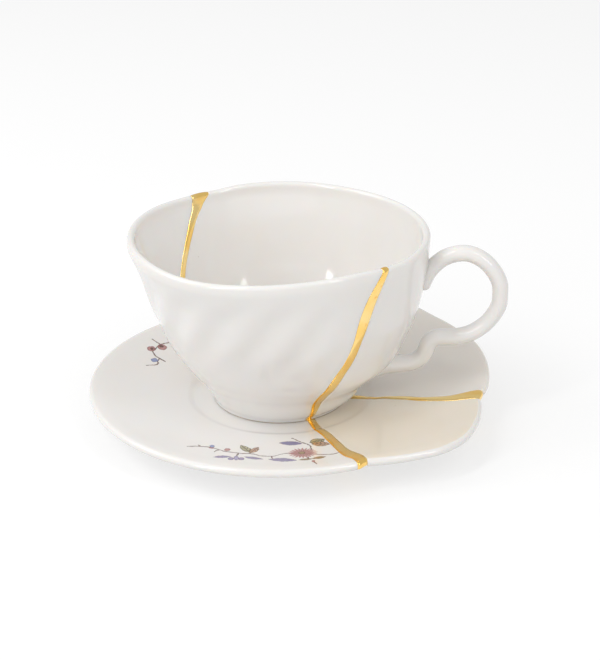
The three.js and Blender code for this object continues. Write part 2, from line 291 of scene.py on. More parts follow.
FLOWERED_EDGE = (
    # bearing, radius share, lip height above the well floor
    (180, 1.0, 6.4),
    (388, 1.0, 6.4),
)
CREAM_EDGE = (
    # bearing, radius share, lip height above the well floor
    (28, 0.968, 6.4),
    (37, 1.025, 6.5),
    (45, 1.078, 6.7),
    (52, 1.124, 7.0),
    (59, 1.139, 7.3),
    (67, 1.121, 7.7),
    (75, 1.089, 8.1),
    (83, 1.050, 8.5),
)
PLAIN_EDGE = (
    # bearing, radius share, lip height above the well floor
    (78, 1.062, 8.6),
    (83, 1.068, 8.7),
    (88, 1.086, 8.9),
    (93, 1.094, 9.1),
    (103, 1.110, 9.5),
    (113, 1.120, 9.9),
    (123, 1.110, 10.2),
    (133, 1.110, 10.3),
    (145, 1.136, 10.2),
    (160, 1.120, 9.4),
    (178, 1.060, 8.0),
)

FRONT_JOINT = (
    # radius share, bearing, width
    (0.205, 41.0, 2.2),
    (0.342, 33.6, 2.2),
    (0.430, 31.5, 2.4),
    (0.480, 31.0, 2.6),
    (0.549, 31.0, 2.7),
    (0.610, 30.4, 2.8),
    (0.704, 29.7, 2.9),
    (0.817, 29.0, 3.2),
    (0.880, 29.3, 3.9),
    (0.938, 30.1, 3.4),
    (0.996, 29.8, 3.3),
    (1.300, 29.4, 3.6),
)
RIGHT_JOINT = (
    # radius share, bearing, width
    (0.230, 88.0, 2.2),
    (0.377, 88.0, 2.2),
    (0.422, 88.3, 2.0),
    (0.466, 87.0, 1.3),
    (0.512, 85.1, 0.9),
    (0.547, 85.2, 1.0),
    (0.598, 84.5, 1.8),
    (0.658, 83.6, 2.2),
    (0.750, 81.6, 2.3),
    (0.840, 80.9, 2.8),
    (0.900, 80.5, 3.3),
    (0.970, 81.0, 4.3),
    (1.046, 81.7, 5.8),
    (1.300, 82.4, 7.4),
)
BACK_JOINT = (
    # radius share, bearing, width
    (0.200, 168.0, 2.4),
    (0.400, 174.0, 2.6),
    (0.600, 172.5, 2.4),
    (0.800, 175.0, 2.8),
    (0.950, 176.5, 3.6),
    (1.300, 177.0, 4.4),
)

# Gap between a shard and its gold, and how a broken edge is rounded, in millimetres
SEAM_GAP = 0.3
EDGE_STEPS = (0.0, 0.07, 0.15, 0.26, 0.42, 0.70)
EDGE_ROUND = 0.22
EDGE_REACH = 0.20

# Lengths under these count as nought, in millimetres and in metres
NO_LENGTH = 1e-6
SAME_SPOT = 1e-7


def edge_drop(distance: float) -> float:
    """How far a broken edge is rounded below the glaze at a distance from it."""
    return -EDGE_ROUND * math.exp(-((distance / EDGE_REACH) ** 2))


def shard_columns(count: int, width: float) -> list[tuple[float, float]]:
    """Columns across a shard, closer together along its two broken edges.

    Args:
        count: How many columns lie between the two rounded edges.
        width: A usual width of the shard in millimetres.

    Returns:
        For each column its share of the way across and its drop.
    """
    near = [(step / width, edge_drop(step)) for step in EDGE_STEPS]
    low = near[-1][0]
    middle = [(share, 0.0) for share in spread(low, 1 - low, count)[1:-1]]
    far = [(1 - share, drop) for share, drop in reversed(near)]
    return [*near, *middle, *far]


Section = Callable[[int, float], tuple[float, float]]


def skin_point(
    section: Section, last: int, row: int, bearing: float, off: float
) -> tuple[float, float]:
    """A point of a section moved out along the section's own normal.

    Args:
        section: Gives the radius and height of a row at a bearing.
        last: The last row's number.
        row: Which row to read.
        bearing: The bearing in degrees.
        off: How far to move it out, in millimetres.

    Returns:
        Its radius and height in millimetres.
    """
    radius, height = section(row, bearing)
    if off == 0.0:
        return radius, height
    before = section(max(0, row - 1), bearing)
    after = section(min(last, row + 1), bearing)
    along = Vector((after[0] - before[0], after[1] - before[1]))
    if along.length < NO_LENGTH:
        return radius, height
    along.normalize()
    return radius + along.y * off, height - along.x * off


def spun_sheet(
    rows: int, steps: int, shape: Callable[[int, int], Vector]
) -> tuple[bmesh.types.BMesh, bmesh.types.BMLayerItem, list, list]:
    """Spins a plain section line into a sheet and shapes its corners.

    Args:
        rows: How many corners the section line has.
        steps: How many steps the spin takes.
        shape: Gives the place of a corner from its row and its step.

    Returns:
        The mesh, its row layer, and the corners of the first and the last step.
    """
    shell = bmesh.new()
    row_of = shell.verts.layers.int.new("row")
    line = []
    for row in range(rows):
        corner = shell.verts.new((1.0, 0.0, row * 0.01))
        corner[row_of] = row
        line.append(corner)
    edges = [shell.edges.new(pair) for pair in zip(line, line[1:])]
    bmesh.ops.spin(
        shell,
        geom=[*line, *edges],
        cent=(0, 0, 0),
        axis=(0, 0, 1),
        dvec=(0, 0, 0),
        angle=1.0,
        steps=steps,
        use_merge=False,
        use_normal_flip=False,
        use_duplicate=False,
    )
    first: list = [None] * rows
    final: list = [None] * rows
    for corner in shell.verts:
        row = corner[row_of]
        step = round(math.atan2(corner.co.y, corner.co.x) * steps)
        if step == 0:
            first[row] = corner
        if step == steps:
            final[row] = corner
        corner.co = shape(row, step)
    return shell, row_of, first, final


def zip_end(shell: bmesh.types.BMesh, ring: Sequence[bmesh.types.BMVert]) -> None:
    """Closes a thin open end, from its middle out to its lip.

    Args:
        shell: The sheet whose end is closed.
        ring: The end's corners, from the middle out along one face and back.
    """
    low, high = 0, len(ring) - 1
    while high - low > 1:
        onward = (ring[low + 1].co - ring[high].co).length
        back = (ring[low].co - ring[high - 1].co).length
        if onward < back:
            shell.faces.new((ring[low], ring[low + 1], ring[high]))
            low += 1
        else:
            shell.faces.new((ring[low], ring[high - 1], ring[high]))
            high -= 1


def held(corner: Vector) -> Vector:
    """A place held inside the frame's own box."""
    low, high = CAD_BOX
    return Vector(min(max(c, a), b) for c, a, b in zip(corner, low, high))


def linked(name: str, data: bpy.types.ID) -> bpy.types.Object:
    """Makes an object of a mesh, light or camera and links it to the scene.

    Args:
        name: The object's name.
        data: What the object shows.

    Returns:
        The new object at the origin.
    """
    made = bpy.data.objects.new(name, data)
    bpy.context.scene.collection.objects.link(made)
    return made


def smooth_object(
    name: str, shell: bmesh.types.BMesh, materials: Sequence[bpy.types.Material]
) -> bpy.types.Object:
    """Makes a smooth object of a mesh.

    Args:
        name: The object's name.
        shell: The mesh, which is used up.
        materials: The finishes, in slot order.

    Returns:
        The new object at the origin.
    """
    mesh = bpy.data.meshes.new(name)
    shell.to_mesh(mesh)
    shell.free()
    for material in materials:
        mesh.materials.append(material)
    mesh.shade_smooth()
    mesh.set_sharp_from_angle(angle=math.radians(CRISP_FROM))
    return linked(name, mesh)


def closed_piece(
    name: str,
    shell: bmesh.types.BMesh,
    ends: Sequence[Sequence[bmesh.types.BMVert]],
    hub: Sequence[bmesh.types.BMVert],
    materials: Sequence[bpy.types.Material],
    slot_of: Callable[[int], int] | None = None,
) -> bpy.types.Object:
    """Caps a sheet's open ends and makes it a smooth closed object.

    Args:
        name: The object's name.
        shell: The sheet, which is used up.
        ends: The corners of the sheet's first and last step.
        hub: The corners round its open middle, if it has one.
        materials: The finishes, in slot order.
        slot_of: Gives the finish of a face from its lowest row.

    Returns:
        The new object at the origin.
    """
    row_of = shell.verts.layers.int.get("row")
    if slot_of and row_of:
        for face in shell.faces:
            face.material_index = slot_of(min(v[row_of] for v in face.verts))
    for ring in ends:
        zip_end(shell, ring)
    if hub:
        shell.faces.new(hub)
    for corner in shell.verts:
        corner.co = held(corner.co)
    bmesh.ops.remove_doubles(shell, verts=shell.verts[:], dist=SAME_SPOT)
    bmesh.ops.recalc_face_normals(shell, faces=shell.faces[:])
    return smooth_object(name, shell, materials)


class Zone(Enum):
    """Where a row of a vessel's section lies."""

    UNDER = "under"
    FOOT = "foot"
    OUTSIDE = "outside"
    LIP = "lip"
    INSIDE = "inside"
    FLOOR = "floor"


@dataclass(frozen=True)
class Row:
    """One row of a section: its zone and where it lies in that zone."""

    zone: Zone
    at: float


@dataclass
class CupForm:
    """The cup's form in millimetres: one fluted and one plain ware blended round the axis."""

    height: float = 65.6
    rim_radius: float = 55.0
    foot_radius: float = 25.2
    wall: float = 2.7
    floor: float = 3.4
    recess: float = 2.4
    land: float = 3.0
    base: float = 7.8
    rest: float = 0.22
    dish: float = 0.25
    ware_turn: float = 7.0
    wave_power: int = 3
    width_power: float = 1.15
    flutes: int = 18
    flute_depth: float = 0.45
    flute_lean: float = 50.0
    flute_start: float = 3.0
    flute_side: tuple[float, float] = (10.0, 40.0)
    flute_rise: tuple[float, float] = (0.34, 0.62)
    flute_fade: tuple[float, float] = (0.76, 0.94)
    join: float = 0.165
    profile: Table = field(default_factory=lambda: Table(WALL_ROWS))
    wave: Table = field(default_factory=lambda: Table(RIM_WAVE, turning=True))

    def radius(self, share: float, bearing: float) -> float:
        """Outer radius without the flutes.

        Args:
            share: Height share of the cup.
            bearing: The bearing in degrees.

        Returns:
            The radius in millimetres.
        """
        mix = 0.5 + 0.5 * math.sin(math.radians(bearing - self.ware_turn))
        form = lerp(self.profile.at(share, 1), self.profile.at(share, 2), mix)
        swell = self.wave.at(bearing, 1) * max(0.0, share) ** self.wave_power
        return self.foot_radius + (self.rim_radius - self.foot_radius) * form + swell

    def lift(self, share: float, bearing: float) -> float:
        """Height in millimetres at a height share and bearing."""
        wave = self.wave.at(bearing, 2) * max(0.0, share) ** self.wave_power
        return self.base + self.height * share + wave

    def flute(self, share: float, bearing: float) -> float:
        """Outward swell of the swirling flutes, which fade at the foot, lip and plain side.

        Args:
            share: Height share of the cup.
            bearing: The bearing in degrees.

        Returns:
            The swell in millimetres, below nought between two flutes.
        """
        turn = (bearing + 180) % FULL_TURN - 180
        side = 1 - smoothstep(*self.flute_side, turn)
        rise = smoothstep(*self.flute_rise, share) * (1 - smoothstep(*self.flute_fade, share))
        swirl = bearing - self.flute_lean * share + self.flute_start
        return self.flute_depth * side * rise * math.cos(math.radians(self.flutes * swirl))

    def steep(self, share: float, bearing: float) -> float:
        """How much the wall's level width exceeds its thickness.

        Args:
            share: Height share of the cup.
            bearing: The bearing in degrees.

        Returns:
            The level width in thicknesses.
        """
        step = 0.02
        run = self.radius(share + step, bearing) - self.radius(share - step, bearing)
        return math.hypot(1, run / (2 * step * self.height))

    def inner(self, share: float, bearing: float) -> tuple[float, float]:
        """Radius and height of the inside at a height share and bearing."""
        width = self.wall * self.steep(share, bearing) ** self.width_power
        return self.radius(share, bearing) - width, self.lift(share, bearing)

    def rows(self) -> list[Row]:
        """The section's rows.

        Returns:
            The rows from under the foot round to the inside's middle.
        """
        under = spread(0, self.foot_radius - self.land - 2.0, 8)
        half = self.wall / 2
        top = 1 - half / self.height
        return [
            *(Row(Zone.UNDER, at) for at in under),
            *(Row(Zone.FOOT, at) for at in spread(0, 1, 14)),
            *(Row(Zone.OUTSIDE, at) for at in spread(0.02, 0.12, 9)),
            *(Row(Zone.OUTSIDE, at) for at in spread(0.14, top - 0.012, 44)),
            *(Row(Zone.LIP, at) for at in spread(0, 180, 13)),
            *(Row(Zone.INSIDE, at) for at in spread(top - 0.015, self.join, 34)),
            *(Row(Zone.FLOOR, at) for at in (0.97, 0.93, 0.88, 0.82, 0.75, 0.66)),
            *(Row(Zone.FLOOR, at) for at in (0.55, 0.42, 0.28, 0.14, 0)),
        ]

    def section(self, row: Row, bearing: float, fluted: bool) -> tuple[float, float]:
        """A point of the section.

        Args:
            row: The row to read.
            bearing: The bearing in degrees.
            fluted: True for the shard with flutes.

        Returns:
            Its radius and height in millimetres.
        """
        at = row.at
        if row.zone is Zone.UNDER:
            dish = self.dish * (1 - (at / self.foot_radius) ** 2)
            return at, self.base + self.recess + dish
        if row.zone is Zone.FOOT:
            return self.foot_point(at)
        if row.zone is Zone.OUTSIDE:
            swell = self.flute(at, bearing) if fluted else 0.0
            return self.radius(at, bearing) + swell, self.lift(at, bearing)
        if row.zone is Zone.LIP:
            half = self.wall / 2
            turn = math.radians(at)
            centre = self.radius(1, bearing) - half
            top = self.lift(1, bearing) - half
            return centre + half * math.cos(turn), top + half * math.sin(turn)
        if row.zone is Zone.INSIDE:
            return self.inner(at, bearing)
        radius, height = self.inner(self.join, bearing)
        ground = self.base + self.recess + self.floor
        below = self.inner(self.join + 0.02, bearing)
        slope = (below[1] - height) / max(0.1, below[0] - radius)
        power = max(2.0, slope * radius / (height - ground))
        return radius * at, ground + (height - ground) * at**power

    def foot_point(self, at: float) -> tuple[float, float]:
        """A point of the foot ring's rounded section.

        Args:
            at: Share of the way from its inside to its outside.

        Returns:
            Its radius and height in millimetres.
        """
        inside = self.foot_radius - self.land
        path = Table(
            (
                (0.0, inside - 1.4, self.recess + 0.05),
                (0.15, inside - 0.6, self.recess - 0.25),
                (0.30, inside - 0.2, self.recess - 1.0),
                (0.45, inside + 0.1, 0.25),
                (0.55, inside + 0.5, -self.rest),
                (0.74, self.foot_radius - 0.36, -self.rest),
                (0.86, self.foot_radius - 0.06, 0.12 - self.rest),
                (1.0, self.foot_radius + 0.03, 0.5),
            )
        )
        return path.at(at, 1), self.base + path.at(at, 2)

    def share(self, row: Row) -> float:
        """Height share at which a row meets the seams.

        Args:
            row: A row of the section.

        Returns:
            The share, nought for all rows under the wall.
        """
        if row.zone in (Zone.UNDER, Zone.FOOT, Zone.FLOOR):
            return 0.0
        if row.zone is Zone.LIP:
            rise = math.sin(math.radians(row.at)) - 1
            return 1 + rise * self.wall / 2 / self.height
        return row.at


@dataclass
class CupShard:
    """One of the cup's two shards, between the two seams."""

    name: str
    node: str
    form: CupForm
    start: Table
    end: Table
    turn: float
    fluted: bool
    columns: int
    hub: float = 16.0
    width: float = 150.0

    def build(self, glaze: bpy.types.Material) -> bpy.types.Object:
        """Builds the shard as a closed piece.

        Args:
            glaze: The finish of the whole shard.

        Returns:
            The shard's object.
        """
        rows = self.form.rows()
        columns = shard_columns(self.columns, self.width)
        last = len(rows) - 1

        def section(row: int, bearing: float) -> tuple[float, float]:
            """Radius and height of a row of this shard."""
            return self.form.section(rows[row], bearing, self.fluted)

        def shape(row: int, step: int) -> Vector:
            """The place of a corner between the two seams.

            Args:
                row: The corner's row.
                step: The corner's column.

            Returns:
                Its place in metres.
            """
            share, drop = columns[step]
            level = self.form.share(rows[row])
            a, b = self.start.at(level, 1), self.end.at(level, 1) + self.turn
            a_room = self.start.at(level, 2) / 2 + SEAM_GAP
            b_room = self.end.at(level, 2) / 2 + SEAM_GAP
            guess = section(row, lerp(a, b, share))[0]
            reach = max(guess, self.hub)
            low = a + math.degrees(a_room / reach)
            high = b - math.degrees(b_room / reach)
            bearing = lerp(low, high, share)
            radius, height = skin_point(section, last, row, bearing, drop)
            if guess >= self.hub:
                return placed(bearing_point(radius, bearing), height)
            half = math.radians((b - a) / 2)
            apex = bearing_point((a_room + b_room) / 2 / math.sin(half), (a + b) / 2)
            rim = bearing_point(self.hub, bearing)
            return placed(apex.lerp(rim, guess / self.hub), height)

        shell, _, first, final = spun_sheet(len(rows), len(columns) - 1, shape)
        piece = closed_piece(self.name, shell, [first, final], [], [glaze])
        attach(piece, ROOT)
        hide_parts(self.node)
        return piece


@dataclass
class GoldLook:
    """How liquid gold fills a joint: its cover, dome and lumps, in millimetres."""

    cover: float = 0.42
    dome: float = 0.36
    sink: float = 0.16
    lump: float = 0.05
    sway: float = 0.05
    roundness: float = 0.55
    lump_grain: float = 0.16
    sway_grain: float = 0.35
    columns: int = 16

    def across(self) -> list[float]:
        """Places across the band, from -1 to 1, closer at its edges."""
        return [math.sin(math.radians(a)) for a in spread(-90, 90, self.columns + 1)]

    def swell(self, across: float, spot: Vector) -> float:
        """How far the gold stands over the glaze.

        Args:
            across: Place across the band, from -1 to 1.
            spot: Where to read the lumps.

        Returns:
            The height over the glaze in millimetres.
        """
        dome = self.dome * max(0.0, 1 - across * across) ** self.roundness
        lumps = self.lump * noise.noise(spot * self.lump_grain)
        return dome - self.sink + lumps * (1 - across * across)

    def half(self, width: float, spot: Vector) -> float:
        """Half of the band's width with its uneven edge."""
        return width / 2 + self.cover + self.sway * noise.noise(spot * self.sway_grain)


Arm = tuple[bmesh.types.BMesh, list, list]


def gold_arm(
    rows: int,
    look: GoldLook,
    shape: Callable[[int, float], Vector],
) -> Arm:
    """A closed arm of gold from its hub to its lip.

    Args:
        rows: How many rows its section has.
        look: How the gold fills the joint.
        shape: Gives the place of a corner from its row and its place across.

    Returns:
        The arm's mesh, its two end rings and the ring round its middle.
    """
    across = look.across()
    steps = len(across) - 1
    shell, row_of, first, final = spun_sheet(
        rows, steps, lambda row, step: shape(row, across[step])
    )
    hub_low = [v for v in shell.verts if v[row_of] == 0]
    hub_high = [v for v in shell.verts if v[row_of] == rows - 1]
    order = first[0].co
    hub_low.sort(key=lambda v: (v.co - order).length)
    hub_high.sort(key=lambda v: (v.co - first[-1].co).length)
    return shell, [first, final], [*hub_low, *reversed(hub_high)]


@dataclass
class CupGold:
    """The gold band through the cup's wall, as one arm for each seam."""

    name: str
    node: str
    form: CupForm
    seams: Sequence[Table]
    look: GoldLook
    least_curve: float = 12.0

    def build(self, gold: bpy.types.Material) -> bpy.types.Object:
        """Builds both arms and joins them in one piece.

        Args:
            gold: The finish of the gold.

        Returns:
            The band's object.
        """
        rows = self.form.rows()
        arms = [self._arm(rows, seam) for seam in self.seams]
        return joined_piece(self.name, self.node, arms, gold)

    def _arm(self, rows: list[Row], seam: Table) -> Arm:
        """One arm, from the axis to the rim.

        Args:
            rows: The section's rows.
            seam: The seam that it fills.

        Returns:
            The arm, still open at its ends.
        """
        last = len(rows) - 1

        def section(row: int, bearing: float) -> tuple[float, float]:
            """Radius and height of a row of the plain wall."""
            return self.form.section(rows[row], bearing, False)

        def shape(row: int, across: float) -> Vector:
            """The place of a corner on the band.

            Args:
                row: The corner's row.
                across: Its place across the band, from -1 to 1.

            Returns:
                Its place in metres.
            """
            level = self.form.share(rows[row])
            centre = seam.at(level, 1)
            plain = section(row, centre)
            spot = Vector((plain[0], centre * GRAIN_PER_DEGREE, plain[1]))
            half = self.look.half(seam.at(level, 2), spot)
            swell = self.look.swell(across, spot + Vector((0, across * GRAIN_ACROSS, 0)))
            radius, height = skin_point(section, last, row, centre, swell)
            if row in (0, last):
                radius = -half
            side = bearing_point(half * across, centre + 90)
            bow = (half * across) ** 2 / (2 * max(radius, self.least_curve))
            return placed(bearing_point(radius - bow, centre) + side, height)

        return gold_arm(len(rows), self.look, shape)


def joined_piece(
    name: str,
    node: str,
    arms: Sequence[Arm],
    gold: bpy.types.Material,
) -> bpy.types.Object:
    """Closes arms of gold and joins them in one object.

    Args:
        name: The object's name.
        node: The CAD node it stands for.
        arms: The arms, still open at their ends.
        gold: The finish of the gold.

    Returns:
        The joined object.
    """
    parts = [
        closed_piece(f"{name}_{k}", shell, ends, hub, [gold])
        for k, (shell, ends, hub) in enumerate(arms)
    ]
    whole = bmesh.new()
    for part in parts:
        whole.from_mesh(part.data)
        spare = part.data
        bpy.data.objects.remove(part)
        bpy.data.meshes.remove(spare)
    piece = smooth_object(name, whole, [gold])
    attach(piece, ROOT)
    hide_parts(node)
    return piece


@dataclass
class Handle:
    """The loop handle in millimetres, a soft rod that runs into the plain shard's wall."""

    name: str
    node: str
    form: CupForm
    rod: float = 5.9
    strap: float = 1.15
    steps: int = 220
    sides: int = 40
    ease: float = 0.06
    feel: float = 0.4
    tail: float = 1.8
    tail_least: float = 0.02
    root: float = 5.0
    root_flare: float = 0.30

    def line(self) -> tuple[Table, float]:
        """The centreline, from its upper tail to its lower root.

        Returns:
            A table over its length, and its length in millimetres.
        """
        rows = []
        length = 0.0
        for share, out, thick in HANDLE_LINE:
            x = self.form.radius(share, 90) + out
            z = self.form.base + self.form.height * share
            if rows:
                length += math.dist((x, z), rows[-1][1:3])
            rows.append((length, x, z, thick))
        return Table(rows, loose=True), length

    def trimmed(self, x: float, y: float, z: float) -> Vector:
        """Stops a point of the rod at the middle of the cup's wall.

        Args:
            x: Distance from the cup's axis towards the handle.
            y: Distance to the side of the handle's plane.
            z: Height of the point.

        Returns:
            The point seen from above, outside the bowl.
        """
        share = (z - self.form.base) / self.form.height
        bearing = math.degrees(math.atan2(x, -y))
        least = self.form.radius(share, bearing) - self.form.wall / 2
        return Vector((x, y)) * max(1.0, least / math.hypot(x, y))

    def build(self, glaze: bpy.types.Material) -> bpy.types.Object:
        """Builds the handle as a bent rod with a rounded upper tail.

        Args:
            glaze: The finish of the handle.

        Returns:
            The handle's object.
        """
        line, length = self.line()
        shell = bmesh.new()
        bmesh.ops.create_cone(
            shell,
            cap_ends=True,
            cap_tris=False,
            segments=self.sides,
            radius1=1,
            radius2=1,
            depth=1,
        )
        upright = [e for e in shell.edges if abs(e.verts[0].co.z - e.verts[1].co.z) > 0.5]
        bmesh.ops.subdivide_edges(
            shell, edges=upright, cuts=self.steps - 1, use_grid_fill=True
        )
        for corner in shell.verts:
            even = corner.co.z + 0.5
            share = even - self.ease * math.sin(2 * math.pi * even)
            along = share * length
            ahead = min(length, along + self.feel)
            behind = max(0.0, along - self.feel)
            run = line.at(ahead, 1) - line.at(behind, 1)
            rise = line.at(ahead, 2) - line.at(behind, 2)
            tangent = Vector((run, rise)).normalized()
            thin = 1 - (1 - min(1.0, along / self.tail)) ** 2
            tip = math.sqrt(max(self.tail_least, thin))
            flare = self.root_flare * max(0.0, 1 - (length - along) / self.root) ** 2
            radius = self.rod / 2 * line.at(along, 3) * (tip + flare)
            x = line.at(along, 1) - tangent.y * corner.co.x * radius
            z = line.at(along, 2) + tangent.x * corner.co.x * radius
            corner.co = placed(self.trimmed(x, corner.co.y * radius * self.strap, z), z)
        piece = closed_piece(self.name, shell, [], [], [glaze])
        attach(piece, ROOT)
        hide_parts(self.node)
        return piece


@dataclass
class SaucerForm:
    """The saucer's form in millimetres: a dished plate on a foot ring, with a well."""

    radius: float = 71.9
    wall: float = 2.9
    well: float = 30.8
    step: float = 4.2
    ground: float = 7.5
    foot_out: float = 5.0
    foot_land: float = 2.6
    well_rise: float = 0.8
    under_rise: float = 0.9
    hub: float = 14.8
    meet: tuple[float, float] = (5.1, 85.0)
    rise: Table = field(
        default_factory=lambda: Table(
            ((0, 0), (0.27, 0.23), (0.55, 0.49), (0.80, 0.78), (0.93, 0.94), (1, 1.0))
        )
    )
    fall: Table = field(
        default_factory=lambda: Table(((0, 0), (0.35, 0.30), (0.72, 0.68), (1, 1.0)))
    )
    well_step: Table = field(
        default_factory=lambda: Table(
            ((0, 0), (29.2, 0), (30.8, 0.03), (32.7, 0.2), (34.1, 0.56), (35.0, 0.8))
        )
    )

    def reach(self, edge: Table, bearing: float) -> tuple[float, float]:
        """How far out and how high a shard's lip is.

        Args:
            edge: The shard's edge table.
            bearing: The bearing in degrees.

        Returns:
            The lip's radius and top height in millimetres.
        """
        middle = (edge.places[0] + edge.places[-1]) / 2
        spot = middle - 180 + (bearing - middle + 180) % FULL_TURN
        return self.radius * edge.at(spot, 1), self.ground + edge.at(spot, 2)

    def rows(self) -> list[Row]:
        """The section's rows.

        Returns:
            The rows from under the middle round to the well floor.
        """
        foot = self.well + self.step + self.foot_out
        land = foot - self.foot_land
        return [
            *(Row(Zone.UNDER, at) for at in spread(0, land - 2.0, 9)),
            *(Row(Zone.FOOT, at) for at in spread(0, 1, 14)),
            *(Row(Zone.OUTSIDE, at) for at in spread(0.02, 0.96, 22)),
            *(Row(Zone.LIP, at) for at in spread(-85, 90, 15)),
            *(Row(Zone.INSIDE, at) for at in spread(0.975, 0, 40)),
            *(Row(Zone.FLOOR, at) for at in spread(34.7, 28.0, 14)),
            *(Row(Zone.FLOOR, at) for at in spread(25.0, 0, 9)),
        ]

    def section(self, row: Row, edge: Table, bearing: float) -> tuple[float, float]:
        """A point of the section.

        Args:
            row: The row to read.
            edge: The shard's edge table.
            bearing: The bearing in degrees.

        Returns:
            Its radius and height in millimetres.
        """
        ring = self.well + self.step
        foot = ring + self.foot_out
        under = self.ground - self.wall
        radius, top = self.reach(edge, bearing)
        half = self.wall / 2
        if row.zone is Zone.UNDER:
            return row.at, under
        if row.zone is Zone.FOOT:
            return self.foot_point(row.at, foot, under)
        if row.zone is Zone.OUTSIDE:
            return (
                lerp(foot, radius - half, row.at),
                lerp(under + self.under_rise, top - self.wall, self.fall.at(row.at)),
            )
        if row.zone is Zone.LIP:
            turn = math.radians(row.at)
            return radius - half + half * math.cos(turn), top - half + half * math.sin(turn)
        if row.zone is Zone.INSIDE:
            low = self.ground + self.well_rise
            return lerp(ring, radius - half, row.at), lerp(low, top, self.rise.at(row.at))
        return row.at, self.ground + self.well_step.at(row.at)

    def foot_point(self, at: float, foot: float, under: float) -> tuple[float, float]:
        """A point of the foot ring's rounded section.

        Args:
            at: Share of the way from its inside to its outside.
            foot: The ring's outer radius.
            under: The height of the underside.

        Returns:
            Its radius and height in millimetres.
        """
        inside = foot - self.foot_land - 1.0
        path = Table(
            (
                (0.0, inside - 0.9, under),
                (0.12, inside - 0.2, under - 0.5),
                (0.32, inside + 0.5, 1.2),
                (0.42, inside + 0.8, 0.3),
                (0.50, inside + 1.3, 0.0),
                (0.66, foot - 0.9, 0.0),
                (0.74, foot - 0.35, 0.18),
                (0.80, foot - 0.05, 0.7),
                (0.92, foot - 0.02, under - 0.2),
                (1.0, foot, under + 0.5),
            )
        )
        return path.at(at, 1), path.at(at, 2)


@dataclass
class SaucerShard:
    """One of the saucer's shards, between two joints that meet under the cup."""

    name: str
    slot: str
    form: SaucerForm
    outline: Table
    start: Table
    end: Table
    turn: float
    columns: int
    width: float
    glazed_from: float = 90.0
    least_spread: float = 0.35

    def build(self, top: bpy.types.Material, rest: bpy.types.Material) -> bpy.types.Object:
        """Builds the shard as a closed piece.

        Args:
            top: The finish of the upper face.
            rest: The finish of the lip and the underside.

        Returns:
            The shard's object.
        """
        form = self.form
        rows = form.rows()
        columns = shard_columns(self.columns, self.width)
        last = len(rows) - 1

        def section(row: int, bearing: float) -> tuple[float, float]:
            """Radius and height of a row of this shard."""
            return form.section(rows[row], self.outline, bearing)

        def sides(radius: float) -> tuple[float, float, float, float]:
            """Where the shard's two broken edges run at a radius.

            Args:
                radius: The radius in millimetres.

            Returns:
                The two joints' bearings and the room that each takes.
            """
            share = radius / form.radius
            a, b = self.start.at(share, 1), self.end.at(share, 1) + self.turn
            a_room = self.start.at(share, 2) / 2 + SEAM_GAP
            b_room = self.end.at(share, 2) / 2 + SEAM_GAP
            return a, b, a_room, b_room

        def shape(row: int, step: int) -> Vector:
            """The place of a corner between the two joints.

            Args:
                row: The corner's row.
                step: The corner's column.

            Returns:
                Its place in metres.
            """
            share, drop = columns[step]
            a, b, a_room, b_room = sides(form.radius)
            guess = section(row, lerp(a, b, share))[0]
            reach = max(guess, form.hub)
            a, b, a_room, b_room = sides(reach)
            low = a + math.degrees(a_room / reach)
            high = b - math.degrees(b_room / reach)
            bearing = lerp(low, high, share)
            radius, height = skin_point(section, last, row, bearing, drop)
            if guess >= form.hub:
                return placed(bearing_point(radius, bearing), height)
            meet = bearing_point(*form.meet)
            toward = bearing_point(form.hub, (a + b) / 2) - meet
            opening = max(self.least_spread, math.sin(math.radians((b - a) / 2)))
            apex = meet + toward.normalized() * ((a_room + b_room) / 2 / opening)
            rim = bearing_point(form.hub, bearing)
            return placed(apex.lerp(rim, guess / form.hub), height)

        def slot_of(row: int) -> int:
            """The finish of a face: 1 on the upper side, 0 elsewhere.

            Args:
                row: The face's lowest row.

            Returns:
                The number of the finish.
            """
            here = rows[row]
            upper = here.zone is Zone.LIP and here.at >= self.glazed_from
            return 1 if upper or here.zone in (Zone.INSIDE, Zone.FLOOR) else 0

        shell, _, first, final = spun_sheet(len(rows), len(columns) - 1, shape)
        piece = closed_piece(self.name, shell, [first, final], [], [rest, top], slot_of)
        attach(piece, ROOT)
        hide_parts(self.name.removeprefix("dressed_"))
        return piece


